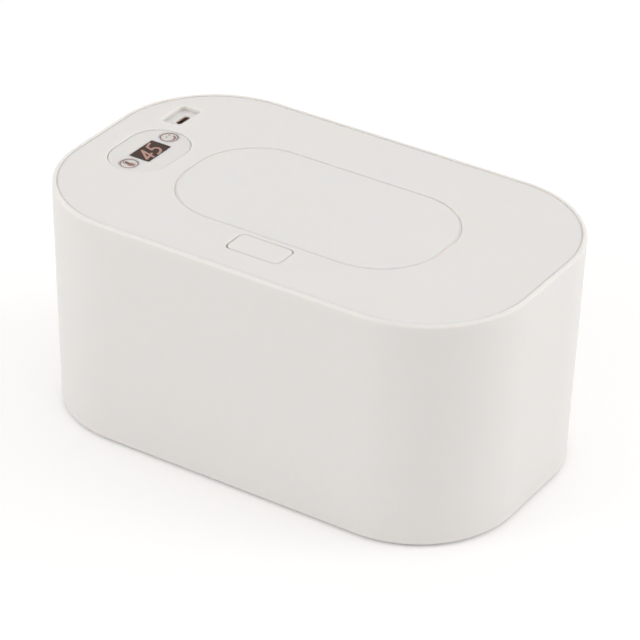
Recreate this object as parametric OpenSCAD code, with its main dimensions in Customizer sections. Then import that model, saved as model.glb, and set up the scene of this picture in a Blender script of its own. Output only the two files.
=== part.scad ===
// Baby wipe warmer: a drafted tub with a drop-in liner, and a lift-off heated cover
// with a flush flip lid on goose-neck hinges, a press-to-open button, two keys,
// a two-digit display and an upward-facing USB-C port. Millimetres, front is -Y.

/* [Case] */
// Length of the case at its rim
case_length = 240; // [225:1:300]
// Depth of the case at its rim, front to back
case_depth = 143.6; // [138:0.1:180]
// Height of the outer shell without its feet
case_height = 113.8; // [90:0.1:145]
// Plan radius of the case corners at the rim
corner_radius = 52.9; // [46:0.1:62]
// How far each wall leans in from the rim to the base
wall_draft = 2.44; // [1:0.01:4]
// Thickness of the outer wall
case_wall = 2; // [1.8:0.1:2.6]
// Thickness of the outer floor
case_floor = 2.4; // [2:0.1:3.5]
// Rounding of the outer rim
rim_round = 1.4; // [0.6:0.1:1.5]
// Rounding of the lower outer edge
base_round = 1.6; // [0.6:0.1:4]
// Depth of the ribs that carry the liner
rib_depth = 4.2; // [3:0.1:5]
// Thickness of those ribs
rib_wall = 1.6; // [1:0.1:2.5]

/* [Feet] */
// Distance of the feet from the ends of the case
foot_inset_x = 38; // [34:1:60]
// Distance of the feet from the front and back of the case
foot_inset_y = 29.8; // [28:0.1:50]
// Diameter of a foot pad
foot_d = 17.6; // [12:0.1:20]
// How far the feet stand proud of the floor
foot_stand = 1; // [0.6:0.1:2]

/* [Inner tub] */
// Thickness of the liner wall
tub_wall = 1.8; // [1.2:0.1:2.5]
// Distance from the case outline to the top of the liner wall
tub_inset = 12.5; // [11.5:0.1:20]
// How far the liner wall leans in towards its floor
tub_lean = 2.5; // [1:0.1:4]
// Inside radius between the liner wall and its floor
tub_fillet = 10; // [4:0.5:14]
// Height of the space under the liner for insulation
tub_lift = 8.6; // [8:0.1:14]

/* [Cover] */
// Gap between the shell rim and the cover
seam_gap = 0.3; // [0.3:0.05:0.8]
// How far the cover lies below the rim
cover_drop = 0.3; // [0:0.1:1]
// Height of the cover, plate to skirt end
cover_height = 26.5; // [26:0.5:32]
// Thickness of the cover plate
plate_wall = 2.2; // [2:0.1:2.6]
// Thickness of the cover skirt
skirt_wall = 1.8; // [1.4:0.1:2.4]
// Rounding along the edge of the cover plate
plate_round = 0.8; // [0.3:0.1:1]
// Height of the gasket under the skirt
seal_height = 0.9; // [0.6:0.1:2]

/* [Lid] */
// Length of the lid
lid_length = 133.1; // [122:0.1:136]
// Depth of the lid
lid_depth = 72.1; // [66:0.1:74]
// Plan radius of the lid corners
lid_radius = 31.4; // [26:0.1:32]
// Offset of the lid centre from the middle of the case
lid_x = 1.7; // [0:0.1:4]
// Offset of the lid centre from the middle, towards the back
lid_y = -2.3; // [-4:0.1:0]
// Thickness of the lid cap
lid_wall = 2; // [1.6:0.1:2.4]
// Gap between the lid and the cover plate
lid_gap = 0.55; // [0.5:0.05:0.9]
// Rounding of the upper lid edge
lid_round = 1.1; // [0.4:0.1:1.1]
// Rounding of the edge of the lid opening
opening_round = 0.6; // [0.2:0.1:0.7]
// Distance of the hinge axis behind the lid
hinge_back = 8; // [7.5:0.1:10]
// Depth of the hinge axis below the cover plate
hinge_drop = 5.2; // [5.2:0.1:6]
// Distance of each goose-neck arm from the lid centre
arm_spread = 24; // [18:1:28]
// Width of a goose-neck arm
arm_width = 5; // [4:0.5:7]
// Thickness of the goose-neck
arm_wall = 2.7; // [2.2:0.1:3]
// Diameter of the hinge pin
hinge_pin_d = 2.5; // [2:0.1:2.6]

/* [Dispensing mouth] */
// Length of the slot that the wipes come through
slot_length = 58; // [50:1:62]
// Width of that slot
slot_width = 14; // [10:0.5:16]
// Width of the soft insert around the slot
mouth_rim = 14.5; // [13:0.5:15]
// Depth of the well floor below the cover plate
well_depth = 11.5; // [11:0.1:12.5]
// Wall of the well
well_wall = 1.4; // [1.2:0.1:1.4]

/* [Release button] */
// Length of the button
button_length = 27.8; // [22:0.1:30]
// Depth of the button
button_depth = 14.2; // [13.5:0.1:15]
// Plan radius of the button corners
button_radius = 3.2; // [1.5:0.1:4]
// Distance between the lid and the button
button_space = 2.8; // [2.8:0.1:4]
// Travel of the button
button_travel = 2; // [1:0.1:2]
// Gap at the back of the button
button_gap = 0.35; // [0.3:0.05:0.5]
// Gap at the front of the button
button_front_gap = 0.7; // [0.4:0.05:1]
// Width of the latch
latch_width = 8; // [6:0.5:9]
// Thickness of the latch
latch_wall = 2.6; // [2:0.1:3]

/* [Control panel] */
// Distance from the left end of the case to the panel centre
panel_inset = 29.9; // [29:0.1:32]
// Width of the panel, along the case
panel_width = 30.3; // [26:0.1:32]
// Depth of the panel, front to back
panel_depth = 44.3; // [40:0.1:46]
// How far the panel lies below the cover plate
panel_drop = 0.5; // [0.2:0.1:0.8]
// Thickness of the panel
panel_wall = 2.4; // [2:0.1:3]
// Width of the display window
window_width = 11; // [9:0.1:12]
// Depth of the display window
window_depth = 18; // [14:0.1:18.4]
// Diameter of a key
key_d = 9.6; // [8:0.1:9.8]
// Distance from the window centre to the near key
near_key = 15.2; // [15:0.1:15.6]
// Distance from the window centre to the far key
far_key = 16; // [15.2:0.1:17]
// Travel of a key
key_travel = 0.5; // [0.2:0.1:0.5]

/* [USB port] */
// Distance from the left end of the case to the port
port_inset = 23.2; // [23:0.1:26]
// Distance of the port behind the middle of the case
port_y = 34.6; // [34:0.1:38]
// Size of the port pocket along the case
pocket_width = 10.8; // [9.5:0.1:12]
// Size of the pocket front to back
pocket_depth = 18.8; // [15:0.1:20]
// Depth of the pocket below the cover plate
pocket_drop = 2.4; // [1.5:0.1:3]
// Length of the opening of the connector shell
port_length = 8.34; // [8.34:0.01:8.34]
// Width of that opening
port_width = 2.56; // [2.56:0.01:2.56]
// Wall of the connector shell
port_wall = 0.3; // [0.25:0.01:0.35]

/* [Heater] */
// Length of the heated plate
heater_length = 184; // [170:1:190]
// Depth of the heated plate
heater_depth = 94; // [86:1:98]
// Thickness of the heated plate
heater_wall = 1.2; // [0.8:0.1:1.5]

/* [Screws] */
// Diameter of the larger screws
screw_d = 2.9; // [2.5:0.1:3.1]
// Diameter of the smaller screws
small_screw_d = 2.2; // [1.8:0.1:2.4]
// Diameter of the bosses for the larger screws
boss_d = 7; // [6:0.1:8]
// Diameter of the bosses for the smaller screws
small_boss_d = 5.4; // [4.8:0.1:6]

/* [Clearances] */
// Radial running clearance of pins, screws and their bores
pin_fit = 0.05; // [0.03:0.01:0.1]
// Gap between neighbouring pieces that don't touch
part_gap = 0.3; // [0.2:0.05:0.35]

/* [Hidden] */
$fn = 64;
eps = 0.01;
cut = 1;

// Width of the swept bands along the edges of the larger pieces
case_band = tub_inset + tub_lean + tub_wall + tub_fillet + 3;
lid_band = 6;
heater_band = 12;

// Levels
top_z = foot_stand + case_height;
floor_z = foot_stand + case_floor;
plate_z = top_z - cover_drop;
under_z = plate_z - plate_wall;
skirt_z = plate_z - cover_height;
rest_gap = 0.1;
foam_gap = 0.2;
foam_room = 1;
seal_z = skirt_z - seal_height;
inner_rim_round = 0.5;
flange_wall = 2;
flange_z = seal_z - rest_gap;
ledge_z = flange_z - flange_wall;
tub_z = floor_z + tub_lift;
tub_floor_z = tub_z + tub_wall;

// Lean of the case wall at a height, and the faces that follow it
function lean(z) = wall_draft * (top_z - z) / case_height;
function wall_in(z) = -lean(z) - case_wall;
function skirt_out(z) = wall_in(z) - seam_gap;
function skirt_in(z) = skirt_out(z) - skirt_wall;
function rib_in(z) = wall_in(z) - rib_depth;
function tub_out(z) = -tub_inset - tub_lean * (ledge_z - z) / (ledge_z - tub_z);
function unit(v) = v / norm(v);

// Under-cover and heater levels
tray_wall = 2;
tray_z = skirt_z + 0.2;
tray_top = tray_z + tray_wall;
pan_drop = 2.8;
pan_z = tray_top - pan_drop;
pan_top = pan_z + heater_wall;
film_wall = 0.3;
film_inset = 11;
pad_inset = 13;
heater_radius = 40;
pad_z = pan_top + film_wall + rest_gap;
pad_height = 3.4;

// Lid, well and hinge
lid_low = plate_z - lid_wall;
opening_length = lid_length + 2 * lid_gap;
opening_depth = lid_depth + 2 * lid_gap;
opening_radius = lid_radius + lid_gap;
well_step = 0.3;
well_length = opening_length + 2 * well_step;
well_depth_y = opening_depth + 2 * well_step;
well_radius = opening_radius + well_step;
well_z = plate_z - well_depth;
well_floor = 2;
well_top = under_z - rest_gap;
lid_back = lid_y + lid_depth / 2;
lid_front = lid_y - lid_depth / 2;
hinge_y = lid_back + hinge_back;
hinge_z = plate_z - hinge_drop;
sweep_r = norm([hinge_back + lid_gap, hinge_drop]) + 0.5;
arm_r = sweep_r + arm_wall;
knuckle_r = hinge_drop - plate_wall - part_gap;
leg_half = 1.6;
side_gap = 0.6;
spring_room = 7;
pocket_r = arm_r + 0.5;
arm_floor = 1.4;
pocket_back = 3.4;
pocket_front = arm_r + 0.9;
pocket_in = arm_width / 2 + side_gap + spring_room;
pocket_out = arm_width / 2 + side_gap;
pin_half = arm_spread + pocket_out + 4;
liner_wall = 1.2;
liner_rim = 2.2;
liner_inset = 4;

// Mouth outlines, all parallel to the slot
mouth_flange = 1;
neck_out = mouth_rim - 3;
barb_out = mouth_rim - 1.5;
chimney_out = mouth_rim + 0.5;
chimney_wall = 1.6;
seal_mid = mouth_rim - 2.5;
seal_half = 1.4;
bead_wall = 1.2;
bead_z = well_z + 3.2;
plate_hole_out = mouth_rim - 1.5;

// Button, latch and catch
button_y = lid_front - button_space - button_depth / 2;
button_wall = 2.5;
button_low = plate_z - button_wall;
button_back = button_y + button_depth / 2;
button_front = button_y - button_depth / 2;
button_end_gap = 0.4;
button_band = button_radius * 0.6;
button_open_length = button_length + 2 * button_end_gap;
button_open_depth = button_depth + button_gap + button_front_gap;
button_open_y = button_y + (button_gap - button_front_gap) / 2;
latch_z = plate_z - 9.5;
latch_top = latch_z + latch_wall;
latch_reach = 12;
nose_y = lid_front - 0.1;
latch_front = nose_y - latch_reach;
catch_gap = 0.6;
cam_mid_y = nose_y - 7.8;
cam_thick = 2.6;
cam_gap = 0.2;
cam_width = 4;
housing_z = latch_z - 0.2;
housing_floor = 1.6;
housing_half = 22.5;
housing_front = button_front - 3;
housing_back = lid_front - lid_gap - well_step - well_wall - 0.2;
leg_x = 11.8;
leg_thick = 2;
leg_depth = 6;
leg_y = button_back - 5.3;
leg_hook = 1;
spring_x = 8;
spring_y = button_front + 3.1;
spring_mean = 1.9;
spring_wire = 0.5;
latch_boss_x = 19.2;
latch_boss_y = button_y - 1;

// Panel, keys and display
panel_x = -case_length / 2 + panel_inset;
panel_y = -1.9;
panel_z = plate_z - panel_drop;
panel_low = panel_z - panel_wall;
panel_gap = 0.1;
panel_edge = 0.8;
panel_band = 3;
panel_floor = 1.8;
window_x = panel_x + 0.2;
window_y = panel_y + 0.3;
window_wall = 1.6;
window_gap = 0.05;
window_radius = 0.5;
key_gap = 0.1;
key_flange = 0.7;
key_lip = 0.4;
key_room_z = panel_z - 0.9;
key_edge = 0.3;
key_stem_d = 5;
stem_gap = 0.6;
board_wall = 1.6;
board_margin = 2.8;
board_radius = 2;
display_z = plate_z - 12.1;
display_pins = [for (x = [-3, 3], y = [-6:3:6]) [x, y]];
display_pin_d = 0.5;
switch_size = 6;
switch_body = 3.5;
switch_top = 4.6;
key_spots = [[window_x - 1, window_y - near_key], [window_x - 0.6, window_y + far_key]];

// Port
port_x = -case_length / 2 + port_inset;
pocket_x = port_x - 1;
pocket_z = plate_z - pocket_drop;
port_height = 6.5;
port_recess = 0.2;
usb_board_wall = 1.2;
usb_board_top = pocket_z - port_recess - port_height;
usb_board_z = usb_board_top - usb_board_wall;
collar_proud = 0.4;
collar_wall = 2;
pocket_wall = 1.6;
pocket_floor = 2;
pocket_radius = 1.8;
pocket_edge = 0.3;
port_gap = 0.15;
port_floor = 0.8;
port_end_gap = 0.8;
tongue_wall = 0.7;
tongue_length = 6.7;

// Electronics
main_x = case_length / 2 - 27;
main_y = -2;
main_length = 30;
main_depth = 68;
main_z = plate_z - 10.5;
lead_d = 2.4;
thin_lead_d = 1.6;
heater_tail_x = 74;
sensor_spot = [62, 14];
fuse_spot = [-62, -12];
heater_tail_y = [-4, 2];
lead_z = tray_top + lead_d / 2 + 0.1;
peg_d = 1.6;
peg_pitch = 5.1;
peg_rows = [for (i = [0:2]) lid_back + 12.45 + i * peg_pitch];
lead_rows = [peg_rows[0] + peg_pitch / 2, peg_rows[1] + peg_pitch / 2];

// Screw places
corner_screw_inset = [32, 20.8];
side_screw_x = 45;
side_screw_inset = 10.8;
display_post = [13.2, 20.4];
post_inset = 3;
usb_post_y = 9.2;
screw_slack = 0.25;
small_slack = 0.2;
bore_spare = 0.8;
case_screw_length = 12;
well_screw_length = 5;
latch_screw_length = 6.5;
board_screw_length = 6;
usb_screw_length = 4;
usb_boss_d = small_boss_d - 1;
small_bore_d = small_screw_d + 2 * pin_fit;
case_screws = [
  for (sx = [-1, 1], sy = [-1, 1]) [
    sx * (case_length / 2 - corner_screw_inset[0]),
    sy * (case_depth / 2 - corner_screw_inset[1])
  ],
  for (sx = [-1, 1], sy = [-1, 1]) [sx * side_screw_x, sy * (case_depth / 2 - side_screw_inset)]
];
feet = [
  for (sx = [-1, 1], sy = [-1, 1])
    [sx * (case_length / 2 - foot_inset_x), sy * (case_depth / 2 - foot_inset_y)]
];
foot_recess = 1.4;
foot_boss = 3.2;
foot_gap = 0.4;
foot_collar = 2.2;
tub_head_d = 5.8;
tub_head = 1.9;
tub_seat_z = foot_stand + foot_recess + tub_head + 0.3;
head_d = 5.6;
head_height = 2;
head_sunk = head_height * 0.4;
seat_wall = 0.8;
small_head_d = 4.2;
small_head = 1.5;
tab_way = unit([20, 32]);
tab_reach = 4.4;
well_tabs = [
  for (sx = [-1, 1], sy = [-1, 1])
    let (away = tab_way * (opening_radius + well_wall + tab_reach))
    [
      lid_x + sx * (opening_length / 2 - opening_radius + away[0]),
      lid_y + sy * (opening_depth / 2 - opening_radius + away[1])
    ]
];
tab_wall = 1.6;
tab_z = plate_z - 8;
latch_bosses = [for (sx = [-1, 1]) [lid_x + sx * latch_boss_x, latch_boss_y]];
display_posts = [
  for (sx = [-1, 1], sy = [-1, 1])
    [panel_x + sx * display_post[0], panel_y + sy * display_post[1]]
];
main_posts = [
  for (sx = [-1, 1], sy = [-1, 1])
    [main_x + sx * (main_length / 2 - post_inset), main_y + sy * (main_depth / 2 - post_inset)]
];
usb_posts = [for (sy = [-1, 1]) [port_x, port_y + sy * usb_post_y]];

// Sockets: the port, the display board, and three on the main board
socket_spots = [
  [port_x + 3, port_y + 1.5, usb_board_z],
  [panel_x - 8, panel_y + 14, display_z],
  [main_x + 4, 28, main_z],
  [main_x - 4.5, 17, main_z],
  [main_x - 11.4, -4, main_z]
];
socket_size = [6, 5, 3];
socket_radius = 0.6;

// Sign of the turn at a corner of an outline, positive where it bulges out
function turn(points, i) =
  let (
    n = len(points),
    a = points[i] - points[(i + n - 1) % n],
    b = points[(i + 1) % n] - points[i]
  ) a[0] * b[1] - a[1] * b[0];

// The sliver between a corner of an outline and the arc that rounds it
module corner_sliver(points, i, r) {
  n = len(points);
  a = unit(points[(i + n - 1) % n] - points[i]);
  b = unit(points[(i + 1) % n] - points[i]);
  half = acos(a * b) / 2;
  centre = points[i] + unit(a + b) * r / sin(half);
  difference() {
    polygon([points[i], points[i] + a * r / tan(half), centre, points[i] + b * r / tan(half)]);
    translate(centre) circle(r);
  }
}

// An outline whose listed corners, as [corner, radius], are rounded or filled by true arcs
module soft(points, rounds) {
  difference() {
    union() {
      polygon(points);
      for (item = rounds) {
        if (turn(points, item[0]) < 0) corner_sliver(points, item[0], item[1]);
      }
    }
    for (item = rounds) {
      if (turn(points, item[0]) > 0) corner_sliver(points, item[0], item[1]);
    }
  }
}

// Sweeps a section round a rounded rectangle; x = 0 is its outline and +x points outwards
module around(length, depth, radius) {
  for (k = [0:3]) {
    span = (k % 2 == 0 ? length : depth) - 2 * radius;
    reach = (k % 2 == 0 ? depth : length) / 2;
    rotate([0, 0, 90 * k]) {
      translate([span / 2, reach - radius, 0])
        rotate_extrude(angle = 90) translate([radius, 0]) children();
      if (span > eps) {
        translate([-span / 2, reach, 0]) rotate([90, 0, 90]) linear_extrude(span) children();
      }
    }
  }
}

// A rounded rectangle in plan, drawn with true arcs
module plan(length, depth, radius) {
  union() {
    if (length - 2 * radius > eps) square([length - 2 * radius, depth], center = true);
    if (depth - 2 * radius > eps) square([length, depth - 2 * radius], center = true);
    for (sx = [-1, 1], sy = [-1, 1]) {
      translate([sx * (length / 2 - radius), sy * (depth / 2 - radius)]) circle(radius);
    }
  }
}

// A swept edge band with the middle filled from low to high; its section starts at -band
module slab(length, depth, radius, band, low, high) {
  around(length, depth, radius) children();
  translate([0, 0, low]) linear_extrude(high - low)
    plan(length - 2 * band, depth - 2 * band, radius - band);
}

// A stadium in plan, drawn with true arcs, its long side along Y
module stadium(width, depth) {
  square([width, depth - width], center = true);
  for (sy = [-1, 1]) translate([0, sy * (depth - width) / 2]) circle(width / 2);
}

// A stadium outline round the wipe slot, the given distance outside it
module slot_plan(out) {
  plan(slot_length + 2 * out, slot_width + 2 * out, slot_width / 2 + out);
}

module at_lid() {
  translate([lid_x, lid_y, 0]) children();
}

module disc(spot, d, low, high) {
  translate([spot[0], spot[1], low]) cylinder(h = high - low, d = d);
}

module case_slab(low, high) {
  slab(case_length, case_depth, corner_radius, case_band, low, high) children();
}

module case_ring() {
  around(case_length, case_depth, corner_radius) children();
}

// A hanging boss with a blind pilot bore that opens downwards
module boss(spot, d, bore, low, high, depth) {
  difference() {
    disc(spot, d, low, high);
    disc(spot, bore, low - cut, low + depth);
  }
}

// A pan-head screw whose thread points up; z = 0 is the seat of its head
module screw(d, head, height, length) {
  edge = 0.5;
  recess = [head / 2, 0.7, height * 0.6];
  translate([0, 0, -height]) {
    difference() {
      union() {
        rotate_extrude() soft([[0, 0], [head / 2, 0], [head / 2, height], [0, height]], [[1, edge]]);
        cylinder(h = height + length, d = d);
      }
      for (a = [0, 90]) {
        rotate([0, 0, a]) translate([-recess[0] / 2, -recess[1] / 2, -eps]) cube(recess);
      }
    }
  }
}

module screws(spots, seat, d, head, height, length) {
  for (spot = spots) translate([spot[0], spot[1], seat]) screw(d, head, height, length);
}

// Points of a helix from one level to another, with flat-wound first and last turns
function helix(r, low, high, turns, wire, steps = 12, flat = 0.35) =
  let (n = turns * steps)
  [
    for (i = [0:n])
      let (t = i / n, a = 360 * i / steps, ease = t - sin(360 * t) / (2 * PI) * flat)
      [r * cos(a), r * sin(a), low + wire / 2 + (high - low - wire) * ease]
  ];

// A six-sided wire along a list of points
module wire(path, d) {
  n = len(path);
  sides = 6;
  function along(i) = unit(path[min(i + 1, n - 1)] - path[max(i - 1, 0)]);
  function across(i) = unit(cross(along(i), abs(along(i)[2]) > 0.9 ? [1, 0, 0] : [0, 0, 1]));
  function ring(i) = [
    for (s = [0:sides - 1])
      path[i] + (across(i) * cos(60 * s) + cross(along(i), across(i)) * sin(60 * s)) * d / 2
  ];
  points = [for (i = [0:n - 1]) each ring(i)];
  walls = [
    for (i = [0:n - 2], s = [0:sides - 1])
      each [
        [i * sides + s, i * sides + (s + 1) % sides, (i + 1) * sides + s],
        [i * sides + (s + 1) % sides, (i + 1) * sides + (s + 1) % sides, (i + 1) * sides + s]
      ]
  ];
  ends = [
    for (s = [1:sides - 2])
      each [[0, s + 1, s], [(n - 1) * sides, (n - 1) * sides + s, (n - 1) * sides + s + 1]]
  ];
  polyhedron(points, concat(walls, ends));
}

// The same points with each bend rounded, so that a lead turns softly
function eased(path, bend = 4, share = 0.4) = [
  for (i = [0:len(path) - 1])
    each (i == 0 || i == len(path) - 1
      ? [path[i]]
      : let (
          a = unit(path[i - 1] - path[i]),
          b = unit(path[i + 1] - path[i]),
          r = min(bend, norm(path[i - 1] - path[i]) * share, norm(path[i + 1] - path[i]) * share)
        ) [for (t = [0:0.25:1]) path[i] + a * r * pow(1 - t, 2) + b * r * pow(t, 2)])
];

// A round lead that is held along its way
module lead(path, d) {
  wire(eased(path), d);
}

// Tub

module outer_shell() {
  boss_z = floor_z + foot_boss;
  floor_round = 3;
  land = 0.2;
  base_land = foot_stand + base_round + land;
  rim_land = top_z - rim_round - land;
  floor_land = floor_z + floor_round + land;
  wall = [
    [-case_band, foot_stand],
    [-wall_draft, foot_stand],
    [-wall_draft, base_land],
    [0, rim_land],
    [0, top_z],
    [-case_wall, top_z],
    [-case_wall, rim_land],
    [wall_in(floor_land), floor_land],
    [wall_in(floor_land), floor_z],
    [-case_band, floor_z]
  ];
  color("white") difference() {
    union() {
      case_slab(foot_stand, floor_z)
        soft(wall, [[1, base_round], [4, rim_round], [5, inner_rim_round], [8, floor_round]]);
      shell_ribs();
      for (foot = feet) disc(foot, foot_d + 2 * foot_collar, floor_z - eps, boss_z);
    }
    for (foot = feet) {
      disc(foot, foot_d + 2 * foot_gap, foot_stand - cut, foot_stand + foot_recess);
      disc(foot, tub_head_d + 2 * foot_gap, 0, tub_seat_z);
      disc(foot, screw_d + 2 * screw_slack, 0, boss_z + cut);
    }
  }
}

// Upright ribs inside the wall, under the flange of the liner
module shell_ribs() {
  reach = rib_depth + case_wall + cut;
  rows_x = [-60, -20, 20, 60];
  rows_y = [-14, 14];
  corner_angles = [30, 60];
  intersection() {
    case_ring() polygon([
      [wall_in(floor_z) + eps, floor_z - eps],
      [wall_in(ledge_z) + eps, ledge_z],
      [rib_in(ledge_z), ledge_z],
      [rib_in(floor_z), floor_z - eps]
    ]);
    union() {
      for (x = rows_x) {
        translate([x - rib_wall / 2, -case_depth / 2, 0]) cube([rib_wall, case_depth, top_z]);
      }
      for (y = rows_y) {
        translate([-case_length / 2, y - rib_wall / 2, 0]) cube([case_length, rib_wall, top_z]);
      }
      for (sx = [-1, 1], sy = [-1, 1]) {
        translate([sx * (case_length / 2 - corner_radius), sy * (case_depth / 2 - corner_radius), 0])
          for (a = corner_angles) {
            rotate([0, 0, atan2(sy * sin(a), sx * cos(a))])
              translate([corner_radius - reach - wall_draft, -rib_wall / 2, 0])
                cube([reach + wall_draft, rib_wall, top_z]);
          }
      }
    }
  }
}

module inner_tub() {
  flange_out = skirt_out(flange_z);
  outside = tub_out(tub_z);
  section = [
    [-case_band, tub_z],
    [outside, tub_z],
    [tub_out(ledge_z), ledge_z],
    [flange_out, ledge_z],
    [flange_out, flange_z],
    [tub_out(ledge_z) - tub_wall, flange_z],
    [outside - tub_wall, tub_floor_z],
    [-case_band, tub_floor_z]
  ];
  boss_low = floor_z + foot_boss + foam_gap;
  boss_skin = 0.4;
  outer_edge = 1;
  color("whitesmoke") difference() {
    union() {
      case_slab(tub_z, tub_floor_z)
        soft(section, [[1, tub_fillet + tub_wall], [2, outer_edge], [5, outer_edge], [6, tub_fillet]]);
      for (foot = feet) disc(foot, boss_d, boss_low, tub_z + tub_wall - boss_skin);
      tub_marks();
    }
    for (foot = feet) disc(foot, screw_d + 2 * pin_fit, 0, tub_z + boss_skin);
  }
}

// Low ribs across the liner floor that keep the pack off it
module tub_marks() {
  margin = 34;
  pitch = 20;
  mark = [2, case_depth - 2 * margin, 1];
  for (x = [-3 * pitch:pitch:3 * pitch]) {
    translate([x - mark[0] / 2, -mark[1] / 2, tub_floor_z - eps]) cube(mark);
  }
}

module foam_wrap() {
  inner = tub_out(tub_z) + part_gap;
  top_gap = 0.5;
  low = floor_z + foam_gap;
  high = ledge_z - top_gap;
  color("lightgray") difference() {
    case_ring() polygon([
      [rib_in(low) - part_gap, low],
      [rib_in(high) - part_gap, high],
      [tub_out(high) + part_gap, high],
      [inner, tub_z],
      [inner, low]
    ]);
    foam_notches(low);
  }
}

// Room in the foam round the collars of the feet
module foam_notches(low) {
  high = floor_z + foot_boss + foam_gap;
  for (foot = feet) disc(foot, foot_d + 2 * foot_collar + foam_room, low - cut, high);
}

module foam_floor() {
  low = floor_z + foam_gap;
  high = tub_z - foam_gap;
  edge = tub_out(tub_z) - foam_gap;
  color("lightgray") difference() {
    case_slab(low, high) translate([-case_band, low]) square([case_band + edge, high - low]);
    for (foot = feet) disc(foot, foot_d + 2 * foot_collar + foam_room, low - cut, high + cut);
  }
}

module foot_pads() {
  high = foot_stand + foot_recess - rest_gap;
  edge = 0.7;
  dish = 0.4;
  color("dimgray") for (foot = feet) {
    translate([foot[0], foot[1], 0]) rotate_extrude() difference() {
      soft([[0, 0], [foot_d / 2, 0], [foot_d / 2, high], [0, high]], [[1, edge]]);
      translate([0, -eps]) square([foot_d / 6, dish]);
    }
  }
}

module tub_screws() {
  tip = 0.2;
  color("silver") screws(feet, tub_seat_z, screw_d, tub_head_d, tub_head, tub_z - tub_seat_z + tip);
}

// Cover

module top_cover() {
  plate_land = 1.5;
  inner_land = 2;
  inner_round = 1.5;
  inner_z = under_z - inner_land;
  seat_out = panel_gap + 2;
  shell = [
    [-case_band, under_z],
    [skirt_in(inner_z), under_z],
    [skirt_in(inner_z), inner_z],
    [skirt_in(skirt_z), skirt_z],
    [skirt_out(skirt_z), skirt_z],
    [skirt_out(plate_z - plate_land), plate_z - plate_land],
    [skirt_out(plate_z - plate_land), plate_z],
    [-case_band, plate_z]
  ];
  color("white") difference() {
    union() {
      case_slab(under_z, plate_z) soft(shell, [[1, inner_round], [6, plate_round]]);
      translate([panel_x, panel_y, panel_low - panel_floor])
        linear_extrude(under_z - panel_low + panel_floor + eps)
          stadium(panel_width + 2 * seat_out, panel_depth + 2 * seat_out);
      pocket_walls();
      for (spot = case_screws) {
        boss(spot, boss_d, screw_d + 2 * pin_fit, tray_top, under_z + eps,
          case_screw_length - tray_wall + 2 * bore_spare);
      }
      for (spot = well_tabs) {
        boss(spot, small_boss_d, small_bore_d, tab_z + tab_wall, under_z + eps,
          well_screw_length - tab_wall + bore_spare);
      }
      for (spot = latch_bosses) {
        boss(spot, small_boss_d, small_bore_d, housing_z, under_z + eps,
          latch_screw_length - housing_floor + bore_spare);
      }
      for (spot = display_posts) {
        boss(spot, small_boss_d, small_bore_d, display_z + board_wall, under_z + eps,
          board_screw_length - board_wall + bore_spare);
      }
      for (spot = main_posts) {
        boss(spot, small_boss_d, small_bore_d, main_z + board_wall, under_z + eps,
          board_screw_length - board_wall + bore_spare);
      }
      for (spot = usb_posts) {
        boss(spot, usb_boss_d, small_bore_d, usb_board_top, pocket_z - pocket_floor / 2,
          usb_screw_length - usb_board_wall + bore_spare);
      }
      cover_ribs();
    }
    lid_opening();
    button_opening();
    panel_recess();
    port_pocket();
  }
}

// Stiffening ribs under the plate, from the skirt to the well
module cover_ribs() {
  rib = 1.2;
  depth = 5;
  short_depth = 3;
  front_length = 12;
  board_side = 4;
  board_end = 6;
  board_rows = [-38, 34];
  back_end = case_depth / 2 - side_screw_inset;
  rear = well_depth_y / 2 + lid_y + spring_room + cut;
  for (sx = [-1, 1]) {
    translate([sx * side_screw_x - rib / 2, rear, under_z - depth])
      cube([rib, back_end - rear, depth + eps]);
    translate([sx * side_screw_x - rib / 2, -back_end, under_z - depth])
      cube([rib, front_length, depth + eps]);
  }
  for (y = board_rows) {
    translate([main_x - board_side, y - rib / 2, under_z - short_depth])
      cube([case_length / 2 - main_x - board_end, rib, short_depth + eps]);
  }
}

// A hole through the plate with a rounded upper edge
module rounded_hole(length, depth, radius, low, edge) {
  translate([0, 0, low]) linear_extrude(plate_z + cut - low) plan(length, depth, radius);
  around(length, depth, radius) difference() {
    translate([-eps, plate_z - edge]) square([edge + eps, edge + cut]);
    translate([edge, plate_z - edge]) circle(edge);
  }
}

module lid_opening() {
  at_lid() rounded_hole(opening_length, opening_depth, opening_radius, under_z - cut, opening_round);
}

module button_opening() {
  translate([lid_x, button_open_y, 0])
    rounded_hole(button_open_length, button_open_depth, button_radius + button_end_gap,
      under_z - cut, opening_round);
}

// Shallow stadium seat for the panel, with the openings for the display and the key stems
module panel_recess() {
  width = panel_width + 2 * panel_gap;
  depth = panel_depth + 2 * panel_gap;
  translate([panel_x, panel_y, 0]) rounded_hole(width, depth, width / 2, panel_low, panel_edge);
  translate([window_x, window_y, panel_low - panel_floor - cut])
    linear_extrude(panel_floor + 2 * cut) square([window_width, window_depth], center = true);
  for (spot = key_spots) {
    disc(spot, key_stem_d + 2 * stem_gap, panel_low - panel_floor - cut, panel_low + cut);
  }
}

module pocket_walls() {
  translate([pocket_x, port_y, pocket_z - pocket_floor])
    linear_extrude(under_z - pocket_z + pocket_floor + eps)
      plan(pocket_width + 2 * pocket_wall, pocket_depth + 2 * pocket_wall, pocket_radius + pocket_wall);
}

module port_pocket() {
  translate([pocket_x, port_y, 0]) {
    difference() {
      rounded_hole(pocket_width, pocket_depth, pocket_radius, pocket_z, pocket_edge);
      translate([port_x - pocket_x, 0, pocket_z - eps]) linear_extrude(collar_proud)
        port_outline(collar_wall);
    }
  }
  translate([port_x, port_y, pocket_z - pocket_floor - cut]) linear_extrude(pocket_floor + 2 * cut)
    port_outline(port_wall + port_gap);
}

// Outline of the connector opening, grown by a margin
module port_outline(margin) {
  stadium(port_width + 2 * margin, port_length + 2 * margin);
}

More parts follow.
